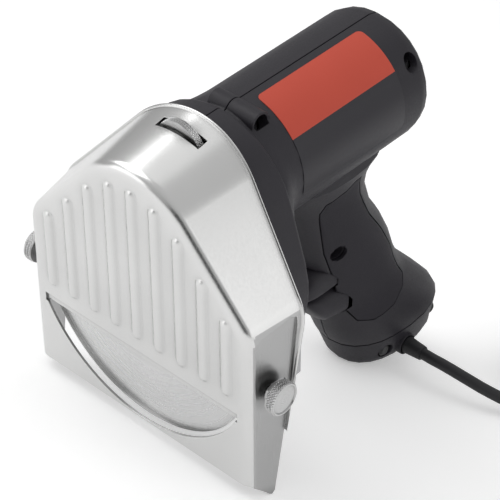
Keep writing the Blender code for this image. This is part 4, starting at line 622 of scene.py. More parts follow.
@dataclass(frozen=True)
class TurnedFinish(Finish):
    """Bare metal with the fine rings that a lathe or a grinding wheel leaves round an axis."""

    metallic: float = 1.0
    height: float = 0.000001
    tone_change: float = 0.03
    drift: float = 30.0
    # Painted shade in the hollows of the turned parts.
    painted_shade: float = 0.5
    axis: Axis = Axis.Y
    pitch: float = 3200.0

    def turned(self, tool: ToolFrame, *place: float) -> Material:
        """Return the finish as a material with its rings about a tool-frame point.

        Args:
            tool: The tool frame.
            place: A tool-frame point on the axis.

        Returns:
            The node material.
        """
        sheet = Sheet(self.name, tool.tilt)
        flat = [0.0 if self.axis is axis else 1.0 for axis in Axis]
        length = sheet.add("ShaderNodeVectorMath", operation="LENGTH")
        sheet.link(sheet.place(flat, tool.point(*place)), length.inputs[0])
        pattern = {"Scale": self.pitch, "Detail": 2}
        rings = sheet.add("ShaderNodeTexNoise", pattern, noise_dimensions="1D")
        sheet.link(length.outputs["Value"], rings.inputs["W"])
        return self.dress(sheet, rings.outputs["Fac"])


CHARCOAL = (0.024, 0.022, 0.028)
BRUSHED = {"metallic": 1.0, "grain": (1500, 1500, 40), "height": 0.0000003, "gloss_change": 0.03, "drift": 22}
FILM = {"grain": (700, 700, 700), "height": 0.0000015, "gloss_change": 0.03, "drift": 30}

# Where a finish sets a share of painted shade, its colour is painted darker in hollows, creases and beside
# other parts.
FINISHES = {
    Slot.STEEL: Finish("pressed_steel", (0.72, 0.72, 0.715), 0.24, tone_change=0.03, painted_shade=0.75, **BRUSHED),
    Slot.BLADE: Finish("ground_steel", (0.66, 0.66, 0.66), 0.25, tone_change=0.03, **BRUSHED),
    Slot.PLATED: Finish("zinc_plate", (0.46, 0.46, 0.47), 0.36, 1, (900,) * 3, 0.000003, 0.07, 0.08, 90),
    Slot.ALLOY: Finish("cast_alloy", (0.42, 0.43, 0.45), 0.5, 0.9, (1600,) * 3, 0.00001, 0.08, 0.07, 60),
    Slot.PLASTIC: Finish("charcoal_plastic", CHARCOAL, 0.5, reflection=0.36),
    Slot.GRIP: Finish("soft_grip", CHARCOAL, 0.62, 0, (2200,) * 3, 0.000006, reflection=0.26),
    Slot.RUBBER: Finish("black_rubber", (0.015, 0.015, 0.017), 0.5, 0, (1100,) * 3, 0.000006, 0.06, 0.1, 60),
}
# Painted shade: a darker copy of the pressed steel for the side walls.
SHADED_SIDE_STEEL = Finish("side_steel_painted_shade", (0.47, 0.47, 0.47), 0.3, tone_change=0.05, painted_shade=0.3, **BRUSHED)
LABEL_RED = Finish("label_red", (0.61, 0.095, 0.063), 0.5, tone_change=0.02, reflection=0.15, **FILM)
LABEL_DARK = Finish("label_charcoal", (0.026, 0.024, 0.030), 0.4, tone_change=0.03, reflection=0.4, **FILM)
BLACK_OXIDE = Finish("black_oxide", (0.05, 0.05, 0.052), 0.42, 0.8, (900,) * 3, 0.000003, 0.06, 0.08, 90)
BLADE_FACE = TurnedFinish("blade_face", (0.7,) * 3, 0.27, height=0, gloss_change=0.015, painted_shade=0.35, pitch=500)
KNOB_FACE = TurnedFinish("knob_steel", (0.62,) * 3, 0.26, axis=Axis.X, pitch=3600)
WHEEL_FACE = TurnedFinish("wheel_steel", (0.62,) * 3, 0.28)


@dataclass
class Assembly:
    """A group of pieces that is modelled and dressed together."""

    tool: ToolFrame
    materials: dict[Slot, Material]

    def hand_over(
        self,
        piece: Piece,
        body: Body,
        slot: Slot,
        nodes: Sequence[str] = (),
        in_tool_frame: bool = True,
        sharp_angle: float = Workbench.sharp_angle,
    ) -> None:
        """Finish one piece, hang it on its body and hide the CAD nodes that it stands for.

        Args:
            piece: The modelled piece, with its materials where they aren't the slot's own.
            body: The CAD body that it rides on.
            slot: The record's slot for its finish.
            nodes: The CAD nodes that it stands for.
            in_tool_frame: False where the piece already lies in the row frame.
            sharp_angle: The angle from which an edge stays sharp.
        """
        if in_tool_frame:
            self.tool.tip(piece)
        if piece.type == "MESH":
            Workbench.shade(piece, sharp_angle)
        if not piece.data.materials:
            piece.data.materials.append(self.materials[slot])
        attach(piece, body.value)
        if nodes:
            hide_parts(*nodes)
        log.info("%s: %d points on %s", piece.name, len(getattr(piece.data, "vertices", ())), body.value)

    @staticmethod
    def split(piece: Piece, first: Material, second: Material, test: FaceTest) -> None:
        """Give a piece two materials, the second one on the faces that pass a test.

        Args:
            piece: The piece.
            first: The material of most faces.
            second: The material of the faces that pass.
            test: The test.
        """
        for material in (first, second):
            piece.data.materials.append(material)
        for face in piece.data.polygons:
            face.material_index = int(test(face))


@dataclass
class Cover(Assembly):
    """The pressed steel cover, with its ribs, joggle, window, side pads and rolled rim."""

    sheet: float = 0.001
    half_width: float = 0.0523
    shoulder_radius: float = 0.010
    shoulder_height: float = 0.068
    apex_radius: float = 0.0298
    apex_height: float = 0.111
    fillet: float = 0.0045
    fillet_steps: int = 8
    shoulder_steps: int = 10
    apex_steps: int = 36
    wall_shares: tuple[float, ...] = (0.2, 0.4, 0.6, 0.8, 1.0)
    draft: float = 0.18
    rim_low: Point = (0.0115, -0.009)
    rim_high: Point = (0.0352, 0.117)
    rim_straight: float = 0.555
    corner_slope: float = math.radians(42)
    corner_start: float = 0.001
    lip_width: float = 0.0012
    lip_shares: tuple[Point, ...] = ((0.2, 0.5), (0.4, 0.85), (0.62, 1.0), (0.84, 0.92), (1.0, 0.6))
    lip_height: float = 0.0007
    rib_count: int = 9
    rib_pitch: float = 0.0105
    rib_foot: float = 0.0028
    rib_end: float = 0.0025
    rib_rise: float = 0.0014
    rib_shape: float = 1.35
    rib_sink: float = 0.00003
    rib_root: float = 0.0006
    rib_steps: int = 12
    rib_tip: float = 0.04
    rib_bottom: float = 0.0387
    rib_margin: float = 0.007
    crease_height: float = 0.0327
    crease_depth: float = 0.0008
    crease_run: float = 0.001
    crease_shares: tuple[Point, ...] = (
        (0, 0),
        (0.12, 0.5),
        (0.24, 1.2),
        (0.4, 1.6),
        (0.55, 1.65),
        (0.8, 1.3),
        (1, 1),
    )
    crease_half_width: float = 0.0468
    window_top: float = 0.0297
    window_half_width: float = 0.0463
    window_strip: float = 0.0009
    window_steps: int = 64
    pad_base: float = 0.00016
    pad_draft: float = 0.12
    pad_top: float = 0.0692
    pad_front: Point = (0.0027, 0.0662)
    pad_top_depth: float = 0.011
    pad_rear: Point = (0.0206, 0.0684)
    pad_foot_depth: float = 0.0118
    pad_steps: int = 14
    # Faces this far out and this square to the side get the side walls' painted shade.
    side_facing: float = 0.9
    side_sheets: int = 4
    edge: float = 0.00014
    edge_angle: float = 60
    knob: Point = (0.009, 0.042)
    knob_hole: float = 0.0023
    slot_steps: int = 12
    travel: float = 0.005
    wheel_low: Triple = (-0.0099, 0.0223, 0.1085)
    wheel_high: Triple = (0.0099, 0.0268, 0.1205)

    def slope_normal(self) -> float:
        """Return the angle of the slope's outward normal above the horizontal.

        Returns:
            The angle, in radians.
        """
        drop = self.shoulder_height - (self.apex_height - self.apex_radius)
        reach = math.hypot(self.half_width, drop)
        return math.acos(self.apex_radius / reach) + math.atan2(drop, self.half_width)

    def outline(self, offset: float, bottom: float) -> list[Point]:
        """Return the cover's open outline, right foot to left foot.

        Args:
            offset: How far it is moved outward.
            bottom: The height of its feet.

        Returns:
            The flat points.
        """
        normal = self.slope_normal()
        apex = (0.0, self.apex_height - self.apex_radius)
        inset = self.half_width - self.shoulder_radius
        rise = self.apex_radius - self.shoulder_radius - math.cos(normal) * inset
        shoulder = (inset, apex[1] + rise / math.sin(normal))
        right = [(self.half_width + offset, bottom)]
        right += arc(shoulder, self.shoulder_radius + offset, 0, normal, self.shoulder_steps)
        crown = arc(apex, self.apex_radius + offset, normal, math.pi - normal, self.apex_steps)
        return right + crown + [(-across, up) for across, up in reversed(right)]

    def rim_depth(self, height: float) -> float:
        """Return how far back the rim lies at a height.

        Args:
            height: The height.

        Returns:
            The depth.
        """
        share = (height - self.rim_low[1]) / (self.rim_high[1] - self.rim_low[1])
        bend = self.rim_straight * share + (1 - self.rim_straight) * share * share
        return self.rim_low[0] + (self.rim_high[0] - self.rim_low[0]) * bend

    def corner_height(self, depth: float) -> float:
        """Return the height of the side wall's lower edge at a depth."""
        return max(self.rim_low[1], -math.tan(self.corner_slope) * max(0, depth - self.corner_start))

    def plate_top(self, across: float) -> float:
        """Return the height of the front plate's upper edge above a place.

        Args:
            across: The place's distance from the middle.

        Returns:
            The height.
        """
        normal = self.slope_normal()
        if abs(across) < self.apex_radius * math.cos(normal):
            return self.apex_height - self.apex_radius + math.sqrt(self.apex_radius**2 - across**2)
        return self.shoulder_height + (self.half_width - abs(across)) / math.tan(normal)

    def rib(self, across: float, inward: float) -> Piece:
        """Raise one rib from nested rounded strips.

        Args:
            across: Where the rib stands.
            inward: How far the face that it stands on is set in.

        Returns:
            The rib as a solid, rooted behind that face.
        """
        low = self.rib_bottom + self.rib_end
        high = self.plate_top(across) - self.rib_margin - self.rib_end

        def strip(radius: float, depth: float) -> Ring:
            """Return one rounded strip.

            Args:
                radius: Half its width.
                depth: How far back it lies.

            Returns:
                The ring.
            """
            top = arc((across, high), radius, 0, math.pi, self.rib_steps)
            foot = arc((across, low), radius, math.pi, math.tau, self.rib_steps)
            return ring_on(Axis.Y, top + foot, depth)

        rings = [strip(self.rib_foot, inward + self.rib_root)]
        for step in range(self.rib_steps + 1):
            share = 1 - (1 - self.rib_tip) * step / self.rib_steps
            rise = self.rib_rise * (1 - share * share) ** self.rib_shape
            rings.append(strip(self.rib_foot * share, inward + self.rib_sink - rise))
        return Workbench.loft("rib", rings)

    def window_outline(self, top: float) -> list[Point]:
        """Return the round-bottomed window below a height.

        Args:
            top: The height.

        Returns:
            The flat points.
        """
        rise = self.window_top - self.window_strip
        radius = (self.window_half_width**2 + rise**2) / (2 * rise)
        centre = self.window_strip + radius
        turn = math.acos((centre - top) / radius)
        return arc((0, centre), radius, -QUARTER - turn, -QUARTER + turn, self.window_steps)

    def joggle(self, inward: float) -> Piece:
        """Return the cutter for the step between the crease and the window.

        Args:
            inward: How far the face that it steps back from is set in.

        Returns:
            The cutter.
        """
        foot = self.window_top - self.window_strip
        wedge = [(-OVERRUN, self.crease_height)]
        for along, deep in self.crease_shares:
            wedge.append((inward + self.crease_depth * deep, self.crease_height - self.crease_run * along))
        wedge += [(inward + self.crease_depth, foot), (-OVERRUN, foot)]
        return Workbench.prism("joggle", wedge, Axis.X, -self.crease_half_width, self.crease_half_width)

    def pad(self, side: int, inward: float) -> Piece:
        """Return the cutter that flattens a side wall under its clamp knob.

        Args:
            side: 1 on the right, -1 on the left.
            inward: How far the wall is set in.

        Returns:
            The cutter.
        """
        rise = math.hypot(self.pad_top_depth - self.pad_front[0], self.pad_top - self.pad_front[1])
        top = [(-OVERRUN, self.pad_front[1] - rise)]
        for step in range(self.pad_steps + 1):
            share = step / self.pad_steps
            depth = self.pad_front[0] + (self.pad_rear[0] + inward - self.pad_front[0]) * share
            ends = self.pad_front[1] + (self.pad_rear[1] - self.pad_front[1]) * share + inward
            bow = (self.pad_top - (self.pad_front[1] + self.pad_rear[1]) / 2) * 4 * share * (1 - share)
            top.append((depth, ends + bow))
        foot = self.rim_low[1] - OVERRUN
        outline = top + [(self.pad_foot_depth + inward, foot), (-OVERRUN, foot)]
        base = self.half_width + self.pad_base - inward
        near = [Vector((side * (base + self.pad_draft * depth), depth, height)) for depth, height in outline]
        far = [Vector((side * (base + OVERRUN), depth, height)) for depth, height in outline]
        return Workbench.loft("pad", [near, far])

    def drawn(self, bottom: float, offset: float, depth_at: Callable[[float], float]) -> Ring:
        """Return the outline with each of its points drawn back to its own depth.

        Args:
            bottom: The height of its feet.
            offset: How far it is moved outward, apart from the draft.
            depth_at: The depth at a height.

        Returns:
            The ring.
        """
        ring = []
        for index, (_, up) in enumerate(self.outline(0, bottom)):
            depth = depth_at(up)
            across, height = self.outline(self.draft * depth + offset, bottom)[index]
            ring.append(Vector((across, depth, height)))
        return ring

    def form(self, inward: float) -> Piece:
        """Return the cover as a filled block.

        Args:
            inward: How far every face is moved in; zero for the outer form.

        Returns:
            The block with its ribs, joggle and pads.
        """
        lean = math.atan(self.draft)
        outer = inward == 0
        extra = 0 if outer else OVERRUN
        radius = self.fillet - inward
        centre = self.draft * self.fillet - self.fillet / math.cos(lean)
        rings = []
        for step in range(self.fillet_steps + 1):
            angle = -QUARTER + (QUARTER - lean) * step / self.fillet_steps
            depth = self.fillet + radius * math.sin(angle)
            outline = self.outline(centre + radius * math.cos(angle), self.corner_height(depth) - extra)
            rings.append(ring_on(Axis.Y, outline, depth))
        start = self.fillet - radius * math.sin(lean)
        for share in self.wall_shares:
            level = start + (self.rim_depth(self.rim_low[1]) - start) * share
            bottom = self.corner_height(level) - extra

            def wall(up: float) -> float:
                """Return the wall's depth at a height."""
                rim = self.rim_depth(up) - (self.lip_width if outer else -extra)
                return start + (rim - start) * share

            rings.append(self.drawn(bottom, -inward / math.cos(lean), wall))
        for along, out in self.lip_shares if outer else ():
            bottom = self.rim_low[1] + self.lip_width * along

            def lip(up: float) -> float:
                """Return the lip's depth at a height."""
                return self.rim_depth(up) - self.lip_width * (1 - along)

            rings.append(self.drawn(bottom, self.lip_height * out, lip))
        block = Workbench.loft("cover_form", rings)
        middle = (self.rib_count - 1) / 2
        for index in range(self.rib_count):
            Workbench.carve(block, self.rib((index - middle) * self.rib_pitch, inward), Carve.FUSE)
        Workbench.carve(block, self.joggle(inward))
        for side in (-1, 1):
            Workbench.carve(block, self.pad(side, inward))
        return block

    def build(self) -> None:
        """Press the cover, cut its window and slots, and hand it over."""
        piece = self.form(0)
        piece.name = "pressed_cover"
        Workbench.carve(piece, self.form(self.sheet))
        window = self.window_outline(self.window_top)
        Workbench.carve(piece, Workbench.prism("window", window, Axis.Y, -OVERRUN, OVERRUN))
        rear = (self.knob[0] + self.travel, self.knob[1])
        slot = arc(self.knob, self.knob_hole, QUARTER, 3 * QUARTER, self.slot_steps)
        slot += arc(rear, self.knob_hole, -QUARTER, QUARTER, self.slot_steps)
        reach = self.half_width + OVERRUN
        Workbench.carve(piece, Workbench.prism("slot", slot, Axis.X, -reach, reach))
        Workbench.carve(piece, Workbench.block("wheel_slot", self.wheel_low, self.wheel_high))
        Workbench.soften(piece, self.edge, self.edge_angle)
        # Painted shade: the side walls' faces that face sideways get the darker copy of the steel.
        side = self.half_width - self.side_sheets * self.sheet
        self.split(
            piece,
            self.materials[Slot.STEEL],
            SHADED_SIDE_STEEL.material(self.tool.tilt),
            lambda face: abs(face.center.x) > side and abs(face.normal.x) > self.side_facing,
        )
        self.hand_over(piece, Body.COVER, Slot.STEEL, ["cover"])


@dataclass
class Blade(Assembly):
    """The round blade, flat in front and ground from behind."""

    radius: float = 0.0493
    height: float = 0.0503
    front: float = 0.0032
    thickness: float = 0.0012
    grind: float = 0.004
    edge: float = 0.0003
    hole: float = 0.0071
    slot_place: float = 0.0098
    slot_radius: float = 0.0019
    steps: int = 160

    def build(self) -> None:
        """Turn the blade, cut its hole and drive slots, and hand it over."""
        rear = self.front + self.thickness
        edge = (self.front + self.edge, self.radius)
        profile = ((self.front, self.radius), edge, (rear, self.radius - self.grind))
        piece = Workbench.turned("round_blade", profile, Axis.Y, (0.0, self.height), self.steps)
        low, high = self.front - self.thickness, rear + self.thickness
        holes = ((0.0, self.hole), (-self.slot_place, self.slot_radius), (self.slot_place, self.slot_radius))
        for across, radius in holes:
            Workbench.carve(piece, Workbench.drill(Axis.Y, (across, self.height), low, high, radius))
        piece.data.materials.append(BLADE_FACE.turned(self.tool, 0, self.front, self.height))
        self.hand_over(piece, Body.BLADE, Slot.BLADE, ["blade"])


@dataclass(frozen=True)
class Knurling:
    """A diamond knurl rolled into a round side."""

    ridges: int
    depth: float
    lean: float
    steps: int
    samples: int = 4
    sharp_angle: float = math.radians(12)

    def ring(self, axis: Axis, centre: Point, radius: float, along: float, share: float = 1.0) -> Ring:
        """Return one knurled ring.

        Args:
            axis: The round side's axis.
            centre: Its flat centre.
            radius: The ridges' radius.
            along: The ring's place on the axis.
            share: How much of the depth is cut here.

        Returns:
            The ring's points.
        """
        count = self.ridges * self.samples
        points = []
        for index in range(count):
            angle = math.tau * index / count
            waves = []
            for side in (-1, 1):
                turn = (self.ridges * angle / math.tau + side * along * self.lean) % 1
                waves.append(abs(turn * 2 - 1))
            points.append(polar(centre, radius - self.depth * share * (1 - min(waves)), angle))
        return ring_on(axis, points, along)

    def band(self, axis: Axis, centre: Point, radius: float, low: float, span: float) -> list[Ring]:
        """Return the knurled rings of a round side, from low and over a span."""
        places = [low + span * step / self.steps for step in range(self.steps + 1)]
        return [self.ring(axis, centre, radius, along) for along in places]


@dataclass
class Thumbwheel(Assembly):
    """The knurled nut that sets the slices' thickness."""

    radius: float = 0.0103
    height: float = 0.1085
    front: float = 0.0232
    thickness: float = 0.0027
    chamfer: float = 0.0003
    hole: float = 0.0028
    knurling: Knurling = Knurling(58, 0.0005, 800, 9)

    def build(self) -> None:
        """Knurl the wheel, bore it and hand it over."""
        centre = (0.0, self.height)
        rear = self.front + self.thickness
        inner = self.radius - self.chamfer
        rings = [self.knurling.ring(Axis.Y, centre, inner, self.front, 0)]
        low, span = self.front + self.chamfer, self.thickness - 2 * self.chamfer
        rings += self.knurling.band(Axis.Y, centre, self.radius, low, span)
        rings.append(self.knurling.ring(Axis.Y, centre, inner, rear, 0))
        piece = Workbench.loft("knurled_thumbwheel", rings)
        low, high = self.front - self.thickness, rear + self.thickness
        Workbench.carve(piece, Workbench.drill(Axis.Y, centre, low, high, self.hole))
        piece.data.materials.append(WHEEL_FACE.turned(self.tool, 0, self.front, self.height))
        angle = self.knurling.sharp_angle
        self.hand_over(piece, Body.THUMBWHEEL, Slot.STEEL, ["thumbwheel"], sharp_angle=angle)


@dataclass
class ClampKnobs(Assembly):
    """The two knurled knobs that clamp the cover."""

    place: Point = (0.009, 0.042)
    radius: float = 0.0065
    seat: float = 0.0549
    collar_radius: float = 0.0039
    collar: float = 0.0019
    head: float = 0.0038
    chamfer: float = 0.0005
    dish: float = 0.00035
    stem_radius: float = 0.002
    stem_tip: float = 0.0478
    neck_gap: float = 0.00003
    knurling: Knurling = Knurling(40, 0.0005, 850, 12)

    def knob(self, side: int, name: str) -> Piece:
        """Turn and knurl one knob.

        Args:
            side: 1 on the right, -1 on the left.
            name: The piece's name.

        Returns:
            The knob in the tool frame.
        """
        neck = self.seat + self.collar
        top = neck + self.head

        def plain(radius: float, along: float) -> Ring:
            """Return one ring that isn't knurled."""
            return self.knurling.ring(Axis.X, self.place, radius, side * along, 0)

        rings = [plain(self.stem_radius, self.stem_tip), plain(self.stem_radius, self.seat)]
        rings += [plain(self.collar_radius, self.seat), plain(self.collar_radius, neck)]
        rings.append(plain(self.radius - self.chamfer, neck + self.neck_gap))
        low, span = side * (neck + self.chamfer), side * (self.head - 2 * self.chamfer)
        rings += self.knurling.band(Axis.X, self.place, self.radius, low, span)
        rings += [plain(self.radius - self.chamfer, top), plain(self.radius - 2 * self.chamfer, top)]
        rings.append(plain(self.radius - 2.5 * self.chamfer, top - self.dish))
        rings.append(plain(self.stem_radius / 4, top - self.dish))
        return Workbench.loft(name, rings)

    def build(self) -> None:
        """Make both knobs and hand them over."""
        for side, word, body in ((-1, "left", Body.CLAMP_LEFT), (1, "right", Body.CLAMP_RIGHT)):
            piece = self.knob(side, f"knurled_knob_{word}")
            piece.data.materials.append(KNOB_FACE.turned(self.tool, side * self.seat, *self.place))
            angle = self.knurling.sharp_angle
            self.hand_over(piece, body, Slot.STEEL, [f"clamp_knob_{word}"], sharp_angle=angle)


@dataclass
class Label(Assembly):
    """The plain two-colour film on the motor barrel."""

    radius: float = 0.0257
    height: float = 0.0873
    front: float = 0.0572
    rear: float = 0.111
    top_edge: float = math.radians(8)
    colour_edge: float = math.radians(52.5)
    low_edge: float = math.radians(104)
    corner: float = 0.0022
    corner_steps: int = 6
    root: float = 0.0002
    film: float = 0.00012
    strips: int = 32

    def build(self) -> None:
        """Cut the film flat, wrap it round the barrel and hand it over."""
        start, end = self.radius * self.top_edge, self.radius * self.low_edge
        corners = (
            (end, self.rear, 0.0),
            (start, self.rear, QUARTER),
            (start, self.front, math.pi),
            (end, self.front, 3 * QUARTER),
        )
        outline = []
        for across, along, turn in corners:
            inner = (
                across - math.copysign(self.corner, across - (start + end) / 2),
                along - math.copysign(self.corner, along - (self.front + self.rear) / 2),
            )
            outline += arc(inner, self.corner, turn, turn + QUARTER, self.corner_steps)
        piece = Workbench.prism("rating_film", outline, Axis.Z, -self.root, self.film)
        Workbench.edit(piece)
        edges = [start + (end - start) * step / self.strips for step in range(1, self.strips)]
        for across in edges + [self.radius * self.colour_edge]:
            bpy.ops.mesh.select_all(action="SELECT")
            bpy.ops.mesh.bisect(plane_co=(across, 0, 0), plane_no=(1, 0, 0))
        bpy.ops.object.mode_set(mode="OBJECT")
        inks = [ink.material(self.tool.tilt) for ink in (LABEL_RED, LABEL_DARK)]
        self.split(piece, *inks, lambda face: face.center.x > self.radius * self.colour_edge)
        for vertex in piece.data.vertices:
            turn, reach = vertex.co.x / self.radius, self.radius + vertex.co.z
            vertex.co = (reach * math.sin(turn), vertex.co.y, self.height + reach * math.cos(turn))
        self.hand_over(piece, Body.HOUSING, Slot.PLASTIC)


@dataclass
class Mouldings(Assembly):
    """The plastic and rubber mouldings, whose CAD shapes get soft edges."""

    edge: float = 0.00035

    def build(self) -> None:
        """Refine each moulding and hand it over."""
        rows = (
            ("housing_left", "housing_shell_left", Slot.PLASTIC, 1.0),
            ("housing_right", "housing_shell_right", Slot.PLASTIC, 1.0),
            ("grip_panel_left", "soft_panel_left", Slot.GRIP, 0.6),
            ("grip_panel_right", "soft_panel_right", Slot.GRIP, 0.6),
            ("foot_cap", "foot_shell", Slot.PLASTIC, 1.0),
            ("cord_grommet", "lead_sleeve", Slot.RUBBER, 0.8),
        )
        for node, name, slot, share in rows:
            piece = Workbench.refined(node, name, self.edge * share)
            self.hand_over(piece, Body.HOUSING, slot, [node], in_tool_frame=False)


@dataclass
class Trigger(Assembly):
    """The finger trigger: two smooth lobes, one above the other, and a plunger."""

    half_width: float = 0.0128
    crease: float = 0.0082
    top: float = 0.0221
    bottom: float = -0.0097
    front: float = 0.0752
    rear: float = 0.0988
    lap: float = 0.0004
    setback: float = 0.0045
    lean: float = 0.55
    lean_reach: float = 0.6
    squareness: float = 2.8
    dome: float = 0.42
    dome_steps: int = 12
    section_steps: int = 72
    tip: float = 0.22
    straight_share: float = 0.12
    plunger: Point = (0.0, 0.007)
    plunger_radius: float = 0.002
    plunger_length: float = 0.008

    def section(self, low: float, high: float, half_width: float, depth: float) -> Ring:
        """Return a rounded cross-section at a depth.

        Args:
            low: The section's lowest height.
            high: Its greatest height.
            half_width: Half its width.
            depth: How far back it lies.

        Returns:
            The ring.
        """
        power = 2 / self.squareness
        ring = []
        for turn in (math.tau * step / self.section_steps for step in range(self.section_steps)):
            across = math.copysign(abs(math.cos(turn)) ** power, math.cos(turn)) * half_width
            up = math.copysign(abs(math.sin(turn)) ** power, math.sin(turn)) * (high - low) / 2
            ring.append(Vector((across, depth, (low + high) / 2 + up)))
        return ring

    def lobe(self, low: float, high: float, front: float, lean: float, low_share: float) -> Piece:
        """Loft one lobe that narrows to a round front.

        Args:
            low: The height of its underside.
            high: The height of its upper side.
            front: How far back its front lies.
            lean: The share of its height by which its underside rises in front.
            low_share: The share of the narrowing that its underside takes.

        Returns:
            The lobe.
        """
        rings = []
        for step in range(self.dome_steps + 1):
            angle = QUARTER * step / self.dome_steps
            along = self.dome * (1 - math.cos(angle))
            full = self.tip + (1 - self.tip) * math.sin(angle)
            lift = (high - low) * lean * max(0, 1 - along / self.lean_reach)
            narrow = (high - low - lift) * (1 - full)
            lower, upper = low + lift + narrow * low_share, high - narrow * (1 - low_share)
            depth = front + (self.rear - front) * along
            rings.append(self.section(lower, upper, self.half_width * (1 + full) / 2, depth))
        rings.append(self.section(low, high, self.half_width, self.rear))
        return Workbench.loft("lobe", rings)

    def build(self) -> None:
        """Join the lobes and the plunger, and hand them over."""
        share = self.straight_share
        piece = self.lobe(self.crease - self.lap, self.top, self.front, 0, share)
        piece.name = "finger_trigger"
        low_front = self.front + self.setback
        lower = self.lobe(self.bottom, self.crease + self.lap, low_front, self.lean, 1 - share)
        root, tip = self.rear - self.plunger_radius, self.rear + self.plunger_length
        plunger = Workbench.drill(Axis.Y, self.plunger, root, tip, self.plunger_radius)
        for part in (lower, plunger):
            Workbench.carve(piece, part, Carve.FUSE)
        self.hand_over(piece, Body.TRIGGER, Slot.PLASTIC, ["trigger"])


@dataclass
class Lead(Assembly):
    """The mains lead: a free stretch, the tied coil, a short tail and the plug."""

    radius: float = 0.0024
    length: float = 1.8
    exit_place: Triple = (0.0268, 0.129, -0.0402)
    end_gap: float = 0.0003
    step: float = 0.0045
    plan_step: float = 0.0072
    base: float = 0.0038
    route: tuple[Point, ...] = (
        (0.0105, 0.0010),
        (0.0190, 0.0034),
        (0.0275, 0.0075),
        (0.0355, 0.0128),
        (0.0430, 0.0187),
        (0.0500, 0.0247),
    )
    drops: tuple[float, ...] = (0.96, 0.79, 0.51, 0.24, 0.07, 0.01)
    join: Point = (0.0630, 0.0360)
    heading: float = math.radians(41)
    layers: int = 4
    turn_points: int = 24
    middle_radius: float = 0.0285
    gap: float = 0.00055
    sweep: float = math.radians(107)
    tail_points: int = 9
    tail_gap: float = 0.0006
    fall_start: float = 0.25
    plug_width: float = 0.026
    plug_rest: float = 0.007
    pin_length: float = 0.0189
    plug_edge: float = 0.0004
    tie_edge: float = 0.0002

    @property
    def pitch(self) -> float:
        """Return the distance between two turns."""
        return 2 * self.radius + self.gap

    @property
    def lift(self) -> float:
        """Return the top layer's height."""
        return self.base + self.pitch * (self.layers - 1)

    def smooth(self, points: Sequence[Vector], step: float) -> list[Vector]:
        """Return points at an even step along a smooth curve through the route's points.

        Args:
            points: The points that the curve passes.
            step: The distance between the points returned.

        Returns:
            The evenly spaced points.
        """
        knots = [2 * points[0] - points[1], *points, 2 * points[-1] - points[-2]]
        fine = []
        parts = 20
        for index in range(1, len(knots) - 2):
            before, start, end, after = knots[index - 1 : index + 3]
            for part in range(parts):
                share = part / parts
                bend = 2 * before - 5 * start + 4 * end - after
                twist = 3 * start - before - 3 * end + after
                fine.append(start + ((end - before) * share + bend * share**2 + twist * share**3) / 2)
        fine.append(knots[-2])
        lengths = [(after - before).length for before, after in zip(fine, fine[1:])]
        total = sum(lengths)
        count = max(2, round(total / step))
        spaced, passed = [fine[0]], 0.0
        for before, after, length in zip(fine, fine[1:], lengths):
            target = total * len(spaced) / count
            if passed + length >= target and len(spaced) < count:
                spaced.append(before.lerp(after, (target - passed) / length))
            passed += length
        return spaced + [fine[-1]]

    def run_length(self, points: Sequence[Vector]) -> float:
        """Return the length of a row of points."""
        return sum((after - before).length for before, after in zip(points, points[1:]))

    def coil(self, centre: Point, turns: float) -> list[Vector]:
        """Wind the coil: each layer spirals in or out, and climbs where it turns back.

        Args:
            centre: The coil's flat centre.
            turns: The number of turns.

        Returns:
            The coil's points with a short straight end on each side.
        """
        per_layer = turns / self.layers
        outer = self.outer_radius(turns)
        count = math.ceil(turns * self.turn_points)
        points = []
        for index in range(count + 1):
            turned_by = turns * index / count
            layer = min(self.layers - 1, int(turned_by / per_layer))
            within = turned_by - layer * per_layer
            inward = within if layer % 2 == 0 else per_layer - within
            climbed = 0.0
            for change in range(1, self.layers):
                climbed += eased(min(1, max(0, (turned_by - change * per_layer) * 2 + 1 / 2)))
            angle = math.tau * turned_by - QUARTER + self.heading
            place = polar(centre, outer - self.pitch * inward, angle)
            points.append(Vector((*place, self.base + self.pitch * climbed)))
        first = (points[0] - points[1]).normalized() * 2 * self.radius
        last = (points[-1] - points[-2]).normalized() * 2 * self.radius
        return [points[0] + first, *points, points[-1] + last]

    def outer_radius(self, turns: float) -> float:
        """Return the coil's outermost centreline radius."""
        return self.middle_radius + self.pitch * turns / self.layers / 2

    def tail(self, centre: Point, end: Vector, outer: float) -> list[Vector]:
        """Lead the tail round the coil's outside and down to the plug.

        Args:
            centre: The coil's flat centre.
            end: Where the coil stops.
            outer: The coil's outermost centreline radius.

        Returns:
            The tail's route.
        """
        start = math.atan2(end.y - centre[1], end.x - centre[0])
        near = math.hypot(end.x - centre[0], end.y - centre[1])
        line = outer + self.radius + self.tail_gap + self.plug_width / 2
        points = []
        for index in range(1, self.tail_points + 1):
            share = index / self.tail_points
            angle = start + self.sweep * share
            radius = near + (line - near) * math.sin(QUARTER * share)
            fallen = max(0, (share - self.fall_start) / (1 - self.fall_start))
            height = self.lift + (self.plug_rest - self.lift) * eased(fallen)
            points.append(Vector((*polar(centre, radius, angle), height)))
        return points

    def turns(self, free_length: float) -> float:
        """Return how many turns use up the length between the free stretch and the tail.

        Args:
            free_length: The free stretch's length.

        Returns:
            The number of turns.
        """
        turns = self.length / (math.tau * self.middle_radius)
        for _ in range(self.layers):
            outer = self.outer_radius(turns)
            end = Vector((outer, 2 * self.radius, self.lift))
            tail = self.smooth([end, *self.tail((0, 0), end, outer)], self.plan_step)
            wound = self.length - free_length - self.run_length(tail) - 4 * self.radius
            turns = wound / (math.tau * self.middle_radius)
        return turns

